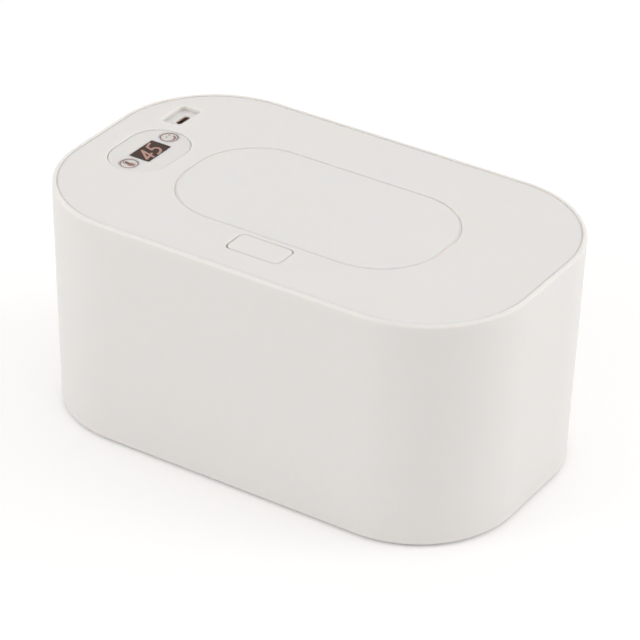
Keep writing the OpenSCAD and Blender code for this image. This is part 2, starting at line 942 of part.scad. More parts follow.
module under_cover() {
  edge = skirt_in(tray_z) - part_gap;
  rim = tray_top + 3.6;
  rim_wall = 1.4;
  low_round = 0.6;
  lip_round = 0.4;
  root_round = 0.8;
  heater_lap = 3.5;
  tray = [
    [-case_band, tray_z],
    [edge, tray_z],
    [edge, rim],
    [edge - rim_wall, rim],
    [edge - rim_wall, tray_top],
    [-case_band, tray_top]
  ];
  color("whitesmoke") difference() {
    union() {
      case_slab(tray_z, tray_top) soft(tray, [[1, low_round], [2, lip_round], [4, root_round]]);
      for (spot = case_screws) disc(spot, boss_d + 2 * seat_wall, tray_z, tray_top - rest_gap);
      lead_pegs();
    }
    at_lid() translate([0, 0, tray_z - cut]) linear_extrude(tray_wall + 2 * cut)
      plan(heater_length - 2 * heater_lap, heater_depth - 2 * heater_lap, heater_radius - heater_lap);
    for (spot = case_screws) {
      disc(spot, head_d + 2 * part_gap, tray_z - cut, tray_z + head_sunk);
      disc(spot, screw_d + 2 * screw_slack, tray_z - cut, tray_top + cut);
      disc(spot, boss_d + 2 * rest_gap, tray_top - rest_gap, tray_top + cut);
    }
  }
}

// Pairs of pegs on the tray that hold the leads between them
module lead_pegs() {
  columns = [-48, 0, 48];
  height = 4;
  for (x = columns, y = peg_rows) disc([x, y], peg_d, tray_top - eps, tray_top + height);
}

module cover_seal() {
  edge = 0.3;
  inner = skirt_in(skirt_z) + rest_gap;
  outer = skirt_out(skirt_z) - rest_gap;
  color("gainsboro") case_ring()
    soft(
      [[inner, seal_z], [outer, seal_z], [outer, skirt_z], [inner, skirt_z]],
      [[0, edge], [1, edge]]
    );
}

module cover_screws() {
  color("silver") screws(case_screws, tray_z + head_sunk, screw_d, head_d, head_sunk, case_screw_length);
}

// Well, mouth and hinge

module lid_well() {
  neck_gap = 0.2;
  low = well_z - well_floor;
  color("white") difference() {
    union() {
      at_lid() {
        translate([0, 0, low]) linear_extrude(well_top - low)
          plan(well_length + 2 * well_wall, well_depth_y + 2 * well_wall, well_radius + well_wall);
        translate([0, 0, pan_top + rest_gap]) linear_extrude(low - pan_top)
          slot_plan(chimney_out + chimney_wall);
      }
      for (side = [-1, 1]) arm_pocket(side, arm_floor, low);
      for (spot = well_tabs) well_tab(spot);
    }
    at_lid() {
      translate([0, 0, well_z]) linear_extrude(well_depth)
        plan(well_length, well_depth_y, well_radius);
      translate([0, 0, pan_top]) linear_extrude(low - pan_top) slot_plan(chimney_out);
      translate([0, 0, low - cut]) linear_extrude(well_floor + 2 * cut) slot_plan(neck_out + neck_gap);
    }
    for (side = [-1, 1]) arm_pocket(side, 0, low);
    hinge_bore(pin_half + part_gap);
    nose_slot();
    for (spot = well_tabs) {
      disc(spot, small_screw_d + 2 * small_slack, tab_z - cut, tab_z + tab_wall + cut);
    }
  }
}

// Room for one goose-neck arm and its spring behind the well; wall 0 is the hollow itself
module arm_pocket(side, wall, low) {
  front_round = 3;
  back_round = 2;
  inner = lid_x + side * (arm_spread - pocket_in);
  outer = lid_x + side * (arm_spread + pocket_out);
  x0 = min(inner, outer) - wall;
  x1 = max(inner, outer) + wall;
  high = wall > 0 ? well_top : well_top + cut;
  front = hinge_y - pocket_front - wall;
  back = hinge_y + pocket_back + wall;
  bottom = hinge_z - pocket_r - wall;
  translate([x0, 0, 0]) rotate([90, 0, 90]) linear_extrude(x1 - x0)
    soft([[front, bottom], [back, bottom], [back, high], [front, high]],
      [[0, front_round + wall], [1, back_round + wall]]);
}

module hinge_bore(half) {
  translate([lid_x - half, hinge_y, hinge_z]) rotate([0, 90, 0])
    cylinder(h = 2 * half, r = hinge_pin_d / 2 + pin_fit);
}

// Slot in the front wall of the well for the nose of the latch
module nose_slot() {
  side = 0.4;
  room = 0.3;
  translate([lid_x - latch_width / 2 - side, housing_back - cut, latch_z - room])
    cube([latch_width + 2 * side, well_wall + 3 * cut, latch_wall + 2 * room]);
}

// A screw tab that grows out of the well wall
module well_tab(spot) {
  corner = [
    lid_x + (spot[0] > lid_x ? 1 : -1) * (opening_length / 2 - opening_radius),
    lid_y + (spot[1] > lid_y ? 1 : -1) * (opening_depth / 2 - opening_radius)
  ];
  way = spot - corner;
  root = well_radius + 0.5;
  disc(spot, small_boss_d + 2 * seat_wall, tab_z, tab_z + tab_wall);
  translate([corner[0], corner[1], tab_z]) rotate([0, 0, atan2(way[1], way[0])])
    translate([root, -small_boss_d / 2, 0]) cube([norm(way) - root, small_boss_d, tab_wall]);
}

module well_screws() {
  color("silver") screws(well_tabs, tab_z, small_screw_d, small_head_d, small_head, well_screw_length);
}

// Soft insert that the wipes are drawn through, dished down towards its slot
module wipe_mouth() {
  neck_wall = 1.6;
  barb_taper = 0.6;
  edge = 0.4;
  lip_z = well_z - 1.6;
  lip_low = lip_z - 1.3;
  barb_z = well_z - well_floor - rest_gap;
  barb_low = barb_z - 1.4;
  section = [
    [0, lip_z],
    [neck_out, lip_z - rest_gap],
    [neck_out, barb_z],
    [barb_out, barb_z],
    [neck_out + barb_taper, barb_low],
    [neck_out - neck_wall + 2 * rest_gap, barb_low],
    [neck_out - neck_wall, lip_low],
    [0, lip_low]
  ];
  top = [
    [0, lip_z - rest_gap],
    [0, lip_z],
    [neck_out - neck_wall, well_z + mouth_flange],
    [mouth_rim, well_z + mouth_flange],
    [mouth_rim, well_z],
    [neck_out, well_z],
    [neck_out, lip_z - rest_gap]
  ];
  color("silver") at_lid() around(slot_length, slot_width, slot_width / 2) union() {
    soft([for (i = [0:7]) section[7 - i]], [[0, edge]]);
    soft([for (i = [0:6]) top[6 - i]], [[3, edge]]);
  }
}

module hinge_pin() {
  color("silver") translate([lid_x - pin_half, hinge_y, hinge_z]) rotate([0, 90, 0])
    cylinder(h = 2 * pin_half, d = hinge_pin_d);
}

// Torsion springs on the pin, one beside each arm
module lid_springs() {
  wire_d = 0.8;
  coil_gap = 0.35;
  coil_r = (hinge_pin_d + wire_d) / 2 + coil_gap;
  length = 5.6;
  turns = 4;
  front_leg = 6.4;
  back_leg = 2.2;
  coil = helix(coil_r, 0, length, turns, wire_d);
  end = coil[len(coil) - 1];
  ways = [[0, -front_leg, 0], [0, -1, 0], [0, wire_d, 0], [0, back_leg, 0]];
  path = concat([coil[0] + ways[0], coil[0] + ways[1]], coil, [end + ways[2], end + ways[3]]);
  middle = arm_spread - arm_width / 2 - side_gap - length / 2;
  color("silver") for (side = [-1, 1]) {
    translate([lid_x + side * middle - length / 2, hinge_y, hinge_z]) rotate([0, 90, 0])
      wire([for (p = path) [-p[1], p[0], p[2]]], wire_d);
  }
}

// Lid

module lid_cap() {
  land = 0.2;
  bevel = lid_wall - lid_round - land;
  section = [
    [-lid_band, lid_low],
    [-bevel, lid_low],
    [0, lid_low + bevel],
    [0, plate_z],
    [-lid_band, plate_z]
  ];
  color("white") at_lid() slab(lid_length, lid_depth, lid_radius, lid_band, lid_low, plate_z)
    soft(section, [[3, lid_round]]);
}

module lid_liner() {
  length = lid_length - 2 * liner_inset;
  depth = lid_depth - 2 * liner_inset;
  radius = lid_radius - liner_inset;
  web_z = lid_low - liner_wall;
  rim_z = lid_low - liner_rim;
  rim_wall = 1.6;
  edge = 0.4;
  color("white") {
    difference() {
      union() {
        at_lid() {
          slab(length, depth, radius, lid_band, web_z, lid_low)
            soft(
              [
                [-lid_band, web_z], [-rim_wall, web_z], [-rim_wall, rim_z],
                [0, rim_z], [0, lid_low], [-lid_band, lid_low]
              ],
              [[1, edge], [2, edge], [3, edge]]
            );
          translate([0, 0, bead_z]) linear_extrude(web_z - bead_z + eps) difference() {
            slot_plan(seal_mid + bead_wall / 2);
            slot_plan(seal_mid - bead_wall / 2);
          }
          liner_ribs(web_z);
        }
        for (side = [-1, 1]) goose_neck(side);
        catch_prong();
      }
      hinge_bore(pin_half);
    }
  }
}

// Ribs between the bead and the rim of the liner
module liner_ribs(web_z) {
  reach = (lid_length - slot_length) / 2 - liner_inset - seal_mid;
  thick = 1.2;
  height = 2;
  rows = [[-10, 1, 3], [0, 0.5, 0.5], [10, 1, 3]];
  for (side = [-1, 1], row = rows) {
    near = slot_length / 2 + seal_mid + row[1];
    far = slot_length / 2 + seal_mid + reach - row[2];
    translate([side * (near + far) / 2, row[0], web_z - (height - eps) / 2])
      cube([far - near, thick, height + eps], center = true);
  }
}

// Hinge arm: down from the lid, round under the cover plate and up to the pin
module goose_neck(side) {
  far = 2 * arm_r;
  toe = 0.6;
  rooted = 0.2;
  translate([lid_x + side * arm_spread - arm_width / 2, hinge_y, hinge_z])
    rotate([90, 0, 90]) linear_extrude(arm_width) {
      intersection() {
        difference() {
          circle(arm_r);
          circle(sweep_r);
        }
        polygon([[0, 0], [-far, 0], [-far, -far], [leg_half, -far], [leg_half, 0]]);
      }
      translate([-arm_r, 0]) square([arm_wall, hinge_drop - lid_wall - liner_wall + rooted]);
      translate([-leg_half, -arm_r + toe]) square([2 * leg_half, arm_r - toe]);
      circle(knuckle_r);
    }
}

// Prong at the front of the lid with the barb that the latch holds down
module catch_prong() {
  barb = 1;
  slope = 0.5;
  half = latch_width / 2 - barb;
  back = lid_front + liner_inset;
  face = nose_y + catch_gap + barb;
  barb_top = latch_z - part_gap;
  foot = well_z + 0.4;
  translate([lid_x - half, 0, 0]) rotate([90, 0, 90]) linear_extrude(2 * half)
    soft(
      [
        [face, foot], [back, foot], [back, lid_low - eps], [face, lid_low - eps],
        [face, barb_top], [face - barb, barb_top], [face - barb, foot + slope]
      ],
      [[1, slope]]
    );
}

// Gasket under the lid, grooved to take the bead of the liner
module lid_seal() {
  low = well_z + mouth_flange + part_gap;
  high = bead_z + 1;
  low_round = 0.8;
  high_round = 0.3;
  grip = 0.05;
  color("gainsboro") at_lid() around(
    slot_length + 2 * seal_mid, slot_width + 2 * seal_mid, slot_width / 2 + seal_mid
  ) difference() {
    soft(
      [[-seal_half, low], [seal_half, low], [seal_half, high], [-seal_half, high]],
      [[0, low_round], [1, low_round], [2, high_round], [3, high_round]]
    );
    translate([-bead_wall / 2 - grip, bead_z - grip]) square([bead_wall + 2 * grip, 1 + cut]);
  }
}

// Release button and latch

module release_button() {
  low_round = 0.3;
  section = [
    [-button_band, button_low],
    [0, button_low],
    [0, plate_z],
    [-button_band, plate_z]
  ];
  color("white") translate([lid_x, button_y, 0]) {
    slab(button_length, button_depth, button_radius, button_band, button_low, plate_z)
      soft(section, [[1, low_round], [2, lid_round]]);
    for (side = [-1, 1]) translate([side * leg_x, leg_y - button_y, 0]) button_leg(side);
    cam_bar();
  }
}

// Guide leg with a snap hook that stops the button at its upper limit
module button_leg(side) {
  low = housing_z - housing_floor - 2;
  ramp_z = low + 0.9;
  hook_z = low + 1.9;
  half = side * leg_thick / 2;
  hook = half + side * leg_hook;
  rotate([90, 0, 0]) linear_extrude(leg_depth, center = true) polygon([
    [-half, low], [half, low], [hook, ramp_z], [hook, hook_z],
    [half, hook_z], [half, button_low + eps], [-half, button_low + eps]
  ]);
}

// Slanted bar in the slanted slot of the latch: pressing it down draws the latch forwards
module cam_bar() {
  mid_z = (latch_z + latch_top) / 2;
  mid = cam_mid_y - button_y;
  high = button_low + eps;
  low = latch_z + rest_gap;
  translate([-cam_width / 2, 0, 0]) rotate([90, 0, 90]) linear_extrude(cam_width) polygon([
    [mid - (low - mid_z) - cam_thick / 2, low],
    [mid - (low - mid_z) + cam_thick / 2, low],
    [mid - (high - mid_z) + cam_thick / 2, high],
    [mid - (high - mid_z) - cam_thick / 2, high]
  ]);
}

module latch_slide() {
  nose_wall = 0.9;
  nose_ramp = 1.6;
  edge = 0.5;
  half = latch_width / 2;
  mid_z = (latch_z + latch_top) / 2;
  slot = cam_thick / 2 + cam_gap;
  rise = latch_wall / 2 + cut;
  color("lightgray") translate([lid_x, 0, 0]) difference() {
    translate([-half, 0, 0]) rotate([90, 0, 90]) linear_extrude(2 * half)
      soft(
        [
          [latch_front, latch_z], [nose_y, latch_z], [nose_y, latch_z + nose_wall],
          [nose_y - nose_ramp, latch_top], [latch_front, latch_top]
        ],
        [[0, edge], [4, edge]]
      );
    translate([-cam_width / 2 - cam_gap, cam_mid_y, mid_z]) rotate([90, 0, 90])
      linear_extrude(cam_width + 2 * cam_gap) polygon([
        [rise - slot, -rise], [rise + slot, -rise], [slot - rise, rise], [-rise - slot, rise]
      ]);
  }
}

module latch_housing() {
  low = housing_z - housing_floor;
  depth = housing_back - housing_front;
  rail_x = latch_width / 2 + part_gap;
  slot_front = cam_mid_y + (latch_wall - cam_thick) / 2 - button_travel - cam_gap;
  slot_back = cam_mid_y + (latch_wall + cam_thick) / 2 + cam_gap;
  corner = 3;
  stop_wall = [2 * housing_half - 16, 1.4, 7.2];
  rail = 1;
  rail_lead = 2.4;
  rail_proud = 0.6;
  peg = [2.4, 2.6];
  color("whitesmoke") difference() {
    union() {
      translate([lid_x, housing_front + depth / 2, low]) linear_extrude(housing_floor)
        plan(2 * housing_half, depth, corner);
      translate([lid_x - stop_wall[0] / 2, housing_front, low]) cube(stop_wall);
      for (side = [-1, 1]) {
        translate([lid_x + side * (rail_x + rail / 2) - rail / 2, latch_front - rail_lead, housing_z - eps])
          cube([rail, housing_back - latch_front + rail_lead - cam_gap, latch_wall + rail_proud]);
        disc([lid_x + side * spring_x, spring_y], peg[0], housing_z - eps, housing_z + peg[1]);
      }
    }
    for (side = [-1, 1]) {
      translate([lid_x + side * leg_x, leg_y, low - cut]) linear_extrude(housing_floor + 2 * cut)
        square([leg_thick + 2 * part_gap, leg_depth + 2 * part_gap], center = true);
    }
    translate([lid_x - cam_width / 2 - 2 * cam_gap, slot_front, low - cut])
      cube([cam_width + 4 * cam_gap, slot_back - slot_front, housing_floor + 2 * cut]);
    for (spot = latch_bosses) {
      disc(spot, small_screw_d + 2 * small_slack, low - cut, housing_z + cut);
    }
  }
}

module latch_screws() {
  color("silver")
    screws(latch_bosses, housing_z - housing_floor, small_screw_d, small_head_d, small_head,
      latch_screw_length);
}

module button_springs() {
  turns = 6;
  color("silver") for (side = [-1, 1]) {
    translate([lid_x + side * spring_x, spring_y, 0])
      wire(helix(spring_mean, housing_z, button_low, turns, spring_wire), spring_wire);
  }
}

// Heater

// Shallow pan that presses on the pack, with an opening for the wipes
module heater_plate() {
  flange = tray_top + heater_wall;
  pan_inset = 4.6;
  bend = 0.6;
  outer_bend = bend + heater_wall;
  section = [
    [-heater_band, pan_z],
    [-pan_inset, pan_z],
    [-pan_inset, tray_top],
    [0, tray_top],
    [0, flange],
    [-pan_inset - heater_wall, flange],
    [-pan_inset - heater_wall, pan_top],
    [-heater_band, pan_top]
  ];
  color("lightsteelblue") at_lid() difference() {
    slab(heater_length, heater_depth, heater_radius, heater_band, pan_z, pan_top)
      soft(section, [[1, outer_bend], [2, bend], [5, outer_bend], [6, bend]]);
    translate([0, 0, pan_z - cut]) linear_extrude(heater_wall + 2 * cut) slot_plan(plate_hole_out);
  }
}

module heater_film() {
  clear = 1;
  color("peru") at_lid() translate([0, 0, pan_top]) linear_extrude(film_wall) difference() {
    plan(heater_length - 2 * film_inset, heater_depth - 2 * film_inset, heater_radius - film_inset + clear);
    slot_plan(chimney_out + chimney_wall + clear);
  }
}

// Felt pad over the film, cut out round the sensor, the fuse and the leads
module heat_pad() {
  clear = 1.5;
  corner = heater_radius - pad_inset + 1;
  sensor_room = [10, 5];
  fuse_room = [16, 7];
  color("dimgray") at_lid() translate([0, 0, pad_z]) linear_extrude(pad_height) difference() {
    plan(heater_length - 2 * pad_inset, heater_depth - 2 * pad_inset, corner);
    slot_plan(chimney_out + chimney_wall + clear);
    translate(sensor_spot) square(sensor_room, center = true);
    translate(fuse_spot) square(fuse_room, center = true);
    for (y = heater_tail_y) translate([heater_tail_x, y]) circle(d = 2 * thin_lead_d);
  }
}

module thermistor() {
  bead = 2.4;
  length = 6;
  z = pan_top + film_wall + bead / 2 + rest_gap;
  color("black") at_lid() translate([sensor_spot[0] - length / 2, sensor_spot[1], z])
    rotate([0, 90, 0]) rotate_extrude()
      soft([[0, 0], [bead / 2, 0], [bead / 2, length], [0, length]], [[1, bead / 3], [2, bead / 6]]);
}

module thermal_fuse() {
  body_d = 4;
  length = 10;
  tip = 1.2;
  tip_d = [3, 1.4];
  wire_d = 1;
  wire_out = [1.5, 2];
  z = pan_top + film_wall + body_d / 2 + rest_gap;
  color("silver") at_lid() translate([fuse_spot[0] - length / 2, fuse_spot[1], z])
    rotate([0, 90, 0]) {
      cylinder(h = length, d = body_d);
      translate([0, 0, length]) cylinder(h = tip, d1 = tip_d[0], d2 = tip_d[1]);
      translate([0, 0, -wire_out[0]]) cylinder(h = length + wire_out[0] + wire_out[1], d = wire_d);
    }
}

// Clips that hold the flange of the heated plate down on the tray
module heater_clips() {
  width = 10;
  leaf = 0.6;
  leg = 1.6;
  reach = 6;
  lap = 4;
  rise = heater_wall + rest_gap;
  clip = [[-lap, rise], [reach - leg, rise], [reach - leg, 0], [reach, 0], [reach, rise + leaf],
    [-lap, rise + leaf]];
  color("silver") at_lid() for (side = [-1, 1]) {
    translate([side * heater_length / 2, 0, tray_top]) rotate([90, 0, 0])
      linear_extrude(width, center = true) polygon([for (p = clip) [side * p[0], p[1]]]);
  }
}

// Control panel

module control_panel() {
  color("white") difference() {
    translate([panel_x, panel_y, 0])
      slab(panel_width, panel_depth, panel_width / 2, panel_band, panel_low, panel_z)
        soft(
          [[-panel_band, panel_low], [0, panel_low], [0, panel_z], [-panel_band, panel_z]],
          [[2, panel_edge]]
        );
    translate([window_x, window_y, panel_low - cut]) linear_extrude(panel_wall + 2 * cut)
      plan(window_width + 2 * window_gap, window_depth + 2 * window_gap, window_radius + window_gap);
    for (spot = key_spots) {
      disc(spot, key_d + 2 * key_gap, panel_low - cut, panel_z + cut);
      disc(spot, key_d + 2 * key_lip + 2 * key_gap, panel_low - cut, key_room_z);
    }
  }
}

module display_window() {
  color("black") translate([window_x, window_y, panel_z - window_wall])
    linear_extrude(window_wall) plan(window_width, window_depth, window_radius);
}

// Key cap with a shallow dished top, a retaining flange and a stem
module key_cap(spot) {
  dish_r = 40;
  dish = 0.35;
  flange_top = key_room_z - rest_gap;
  stem_low = display_z + board_wall + switch_top + key_travel + rest_gap;
  low = flange_top - key_flange;
  color("white") translate([spot[0], spot[1], 0]) {
    rotate_extrude() difference() {
      soft([[0, low], [key_d / 2, low], [key_d / 2, panel_z], [0, panel_z]], [[2, key_edge]]);
      translate([0, panel_z + dish_r - dish]) intersection() {
        circle(dish_r, $fn = 240);
        translate([-key_d, eps - dish_r]) square([2 * key_d, dish_r]);
      }
    }
    disc([0, 0], key_d + 2 * key_lip, low, flange_top);
    disc([0, 0], key_stem_d, stem_low, low + eps);
  }
}

module heat_key() {
  key_cap(key_spots[0]);
}

module night_key() {
  key_cap(key_spots[1]);
}

module display_module() {
  low = display_z + board_wall;
  high = panel_z - window_wall - rest_gap;
  pin_out = 0.8;
  color("black") translate([window_x, window_y, low]) {
    linear_extrude(high - low) plan(window_width - 2 * part_gap, window_depth - 2 * part_gap, window_radius);
    for (pin = display_pins) disc(pin, display_pin_d, -board_wall - pin_out, eps);
  }
}

module tact_switches() {
  low = display_z + board_wall;
  plunger_d = 3.4;
  color("dimgray") for (spot = key_spots) translate([spot[0], spot[1], low]) {
    translate([-switch_size / 2, -switch_size / 2, 0]) cube([switch_size, switch_size, switch_body]);
    cylinder(h = switch_top, d = plunger_d);
  }
}

module display_board() {
  color("green") translate([panel_x, panel_y, display_z]) difference() {
    linear_extrude(board_wall)
      plan(2 * (display_post[0] + board_margin), 2 * (display_post[1] + board_margin), board_radius);
    for (spot = display_posts) {
      disc([spot[0] - panel_x, spot[1] - panel_y], small_screw_d + 2 * small_slack,
        -cut, board_wall + cut);
    }
    for (pin = display_pins) {
      disc([window_x - panel_x + pin[0], window_y - panel_y + pin[1]], display_pin_d + 2 * rest_gap,
        -cut, board_wall + cut);
    }
  }
}

// Port

module usb_shell() {
  color("silver") translate([port_x, port_y, usb_board_top]) difference() {
    linear_extrude(port_height) port_outline(port_wall);
    translate([0, 0, port_floor]) linear_extrude(port_height) port_outline(0);
  }
}

module usb_tongue() {
  root = 1;
  color("black") translate([port_x, port_y, usb_board_top + port_floor]) {
    linear_extrude(root) port_outline(-pin_fit);
    translate([-tongue_wall / 2, -tongue_length / 2, 0])
      cube([tongue_wall, tongue_length, port_height - port_floor - port_end_gap]);
  }
}

module usb_board() {
  size = [12, 2 * usb_post_y + 5];
  corner = 1;
  color("green") translate([port_x, port_y, usb_board_z]) difference() {
    linear_extrude(usb_board_wall) plan(size[0], size[1], corner);
    for (spot = usb_posts) {
      disc([0, spot[1] - port_y], small_screw_d + 2 * small_slack, -cut, usb_board_wall + cut);
    }
  }
}

// Electronics

module main_board() {
  color("green") translate([main_x, main_y, main_z]) difference() {
    linear_extrude(board_wall) plan(main_length, main_depth, board_radius);
    for (spot = main_posts) {
      disc([spot[0] - main_x, spot[1] - main_y], small_screw_d + 2 * small_slack,
        -cut, board_wall + cut);
    }
  }
}

module controller_chip() {
  chip = [10, 10, 1.1];
  spot = [-7, -1];
  color("black") translate([main_x + spot[0], main_y + spot[1], main_z - chip[2]]) cube(chip);
}

module power_coil() {
  coil = [8, 8, 4.2];
  spot = [3, -14];
  corner = 1.5;
  color("dimgray") translate([main_x + spot[0], main_y + spot[1], main_z - coil[2]])
    linear_extrude(coil[2]) plan(coil[0], coil[1], corner);
}

// Sockets under the boards that the leads run into
module lead_sockets() {
  color("ivory") {
    for (spot = socket_spots) translate(spot - [0, 0, socket_size[2]])
      linear_extrude(socket_size[2]) plan(socket_size[0], socket_size[1], socket_radius);
  }
}

module board_screws() {
  color("silver") {
    screws(display_posts, display_z, small_screw_d, small_head_d, small_head, board_screw_length);
    screws(main_posts, main_z, small_screw_d, small_head_d, small_head, board_screw_length);
    screws(usb_posts, usb_board_z, small_screw_d, small_head_d, small_head, usb_screw_length);
  }
}

module power_lead() {
  start = socket_spots[0];
  finish = socket_spots[2];
  held_x = 60;
  first = [start[0] + 8, 45];
  last = [finish[0] - 6, 42];
  lift = [2, 3];
  color("black") lead([
    start - [0, 0, socket_size[2]],
    [start[0], start[1], lead_z + lift[0]],
    [first[0], first[1], lead_z],
    [-held_x, lead_rows[1], lead_z],
    [held_x, lead_rows[1], lead_z],
    [last[0], last[1], lead_z],
    [finish[0], finish[1], lead_z + lift[1]],
    finish - [0, 0, socket_size[2]]
  ], lead_d);
}

module signal_lead() {
  start = socket_spots[1];
  finish = socket_spots[3];
  held_x = 58;
  first = [start[0] + 8, 32];
  last = [finish[0] - 4, 37];
  lift = [2, 1, 2, 4.5];
  color("gray") lead([
    start - [0, 0, socket_size[2]],
    [start[0], start[1], lead_z + lift[0]],
    [first[0], first[1], lead_z + lift[1]],
    [-held_x, lead_rows[0], lead_z],
    [held_x, lead_rows[0], lead_z],
    [last[0], last[1], lead_z + lift[2]],
    [finish[0], finish[1], lead_z + lift[3]],
    finish - [0, 0, socket_size[2]]
  ], lead_d);
}

module heater_leads() {
  spot = socket_spots[4];
  top = spot[2] - socket_size[2];
  rise = 5.8;
  entry = 2;
  color("tomato") for (y = heater_tail_y) {
    lead([
      [lid_x + heater_tail_x, lid_y + y, pan_top + film_wall],
      [lid_x + heater_tail_x, lid_y + y, tray_top + rise],
      [spot[0] + y / 3, spot[1] + y / 3, top - entry],
      [spot[0] + y / 3, spot[1] + y / 3, top]
    ], thin_lead_d);
  }
}

outer_shell();
inner_tub();
foam_wrap();
foam_floor();
foot_pads();
tub_screws();
top_cover();
under_cover();
cover_seal();
cover_screws();
lid_well();
wipe_mouth();
well_screws();
hinge_pin();
lid_springs();
lid_cap();
lid_liner();
lid_seal();
release_button();
latch_slide();
latch_housing();
latch_screws();
button_springs();
heater_plate();
heater_film();
heat_pad();
thermistor();
thermal_fuse();
heater_clips();
control_panel();
display_window();
heat_key();
night_key();
display_module();
tact_switches();
display_board();
usb_shell();
usb_tongue();
usb_board();
main_board();
controller_chip();
power_coil();
lead_sockets();
board_screws();
power_lead();
signal_lead();
heater_leads();
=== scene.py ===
"""Finishes, printed marks, stage and camera for a baby wipe warmer, as a Blender add-on."""
import math

import bmesh
import bpy
from bpy.props import FloatProperty, FloatVectorProperty, PointerProperty
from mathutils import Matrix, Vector


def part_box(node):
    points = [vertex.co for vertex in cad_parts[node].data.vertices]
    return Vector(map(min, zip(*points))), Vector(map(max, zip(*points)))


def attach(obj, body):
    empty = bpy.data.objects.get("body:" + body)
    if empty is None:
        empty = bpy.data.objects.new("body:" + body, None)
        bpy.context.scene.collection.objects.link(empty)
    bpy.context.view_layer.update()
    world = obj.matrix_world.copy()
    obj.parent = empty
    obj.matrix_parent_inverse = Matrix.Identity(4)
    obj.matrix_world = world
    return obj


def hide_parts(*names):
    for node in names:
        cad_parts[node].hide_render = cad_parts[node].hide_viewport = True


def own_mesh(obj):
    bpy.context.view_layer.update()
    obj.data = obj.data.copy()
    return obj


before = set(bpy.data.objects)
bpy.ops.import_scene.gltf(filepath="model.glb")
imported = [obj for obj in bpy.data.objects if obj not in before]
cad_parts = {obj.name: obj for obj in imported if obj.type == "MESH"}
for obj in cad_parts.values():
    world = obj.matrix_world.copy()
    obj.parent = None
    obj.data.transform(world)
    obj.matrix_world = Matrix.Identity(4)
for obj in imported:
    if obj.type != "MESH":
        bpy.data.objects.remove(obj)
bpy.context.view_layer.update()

bl_info = {
    "name": "Baby wipe warmer",
    "version": (1, 0, 0),
    "blender": (4, 5, 0),
    "location": "3D View > Sidebar > Wipe warmer",
    "description": "Finishes and small printed pieces for a heated wipe tub with a flip lid",
    "category": "Object",
}

MM = 0.001


# Sizes and colours that a user would change

def colour(name, description, value):
    """A colour in linear red, green and blue."""
    return FloatVectorProperty(
        name=name, description=description, default=value, size=3, min=0.0, max=1.0,
        subtype="COLOR",
    )


def length(name, description, value):
    """A length given in millimetres and kept in metres."""
    return FloatProperty(
        name=name, description=description, default=value * MM, min=0.0, precision=5,
        subtype="DISTANCE", unit="LENGTH",
    )


def factor(name, description, value, high=1.0):
    return FloatProperty(
        name=name, description=description, default=value, min=0.0, max=high, subtype="FACTOR"
    )


def angle(name, description, degrees):
    return FloatProperty(
        name=name, description=description, default=math.radians(degrees),
        subtype="ANGLE", unit="ROTATION",
    )


def power(name, description, value):
    return FloatProperty(name=name, description=description, default=value, unit="POWER")


def shift(name, description, value):
    return FloatProperty(name=name, description=description, default=value, precision=5)


class WarmerColours(bpy.types.PropertyGroup):
    case: colour("Case", "Warm white of the shell, the cover and the lid", (0.790, 0.766, 0.745))
    # The bead colour is lighter and warmer than the case: painted light that lifts the shade in the
    # seams it fills.
    bead: colour("Beads", "Soft beads that close the seams", (0.875, 0.780, 0.720))
    panel: colour("Panel", "Control panel and keys", (0.765, 0.738, 0.712))
    inside: colour("Inside", "White of the liner, the well and the tray", (0.760, 0.745, 0.720))
    silicone: colour("Silicone", "Mouth insert and gaskets", (0.600, 0.590, 0.570))
    window: colour("Window", "Smoked window over the display", (0.046, 0.020, 0.012))
    digits: colour("Digits", "Lit digits of the display", (0.420, 0.245, 0.205))
    print_ink: colour("Print", "Printed rings and symbols on the keys", (0.340, 0.165, 0.130))
    column_ink: colour("Column", "Dark column of the thermometer symbol", (0.060, 0.035, 0.030))
    foam: colour("Foam", "Insulating foam round the liner", (0.270, 0.270, 0.280))
    rubber: colour("Rubber", "Foot pads", (0.030, 0.030, 0.032))
    steel: colour("Steel", "Screws, pin, clips and springs", (0.560, 0.560, 0.570))
    aluminium: colour("Aluminium", "Heated plate and fuse can", (0.640, 0.650, 0.660))
    amber: colour("Amber film", "Clear film that carries the heating track", (0.480, 0.170, 0.030))
    track: colour("Track", "Etched heating track", (0.330, 0.110, 0.050))
    felt: colour("Felt", "Pad over the heating film", (0.110, 0.110, 0.115))
    board: colour("Board", "Solder mask of the circuit boards", (0.012, 0.090, 0.036))
    # The port's shell and tongue are lightened beyond their own colours: painted light that lifts
    # the shade inside the slot.
    port_shell_painted_light: colour("Port shell", "Warm plated steel of the port", (0.640, 0.470, 0.415))
    port_tongue_painted_light: colour("Port tongue", "Tongue inside the port", (0.080, 0.048, 0.040))
    gold: colour("Gold", "Contacts of the charging port", (0.750, 0.500, 0.190))
    module: colour("Display body", "Body of the display module", (0.010, 0.010, 0.011))
    sensor: colour("Sensor", "Epoxy bead of the heat sensor", (0.012, 0.012, 0.014))
    chip: colour("Chip", "Package of the controller chip", (0.014, 0.014, 0.016))
    switch: colour("Switches", "Bodies of the key switches", (0.020, 0.020, 0.022))
    ferrite: colour("Ferrite", "Core of the power coil", (0.055, 0.055, 0.058))
    socket: colour("Sockets", "Ivory sockets of the leads", (0.700, 0.660, 0.520))
    lead_black: colour("Black lead", "Sleeve of the power lead", (0.022, 0.022, 0.024))
    lead_grey: colour("Grey lead", "Sleeve of the signal lead", (0.170, 0.170, 0.180))
    lead_red: colour("Red leads", "Sleeves of the heater leads", (0.340, 0.020, 0.012))


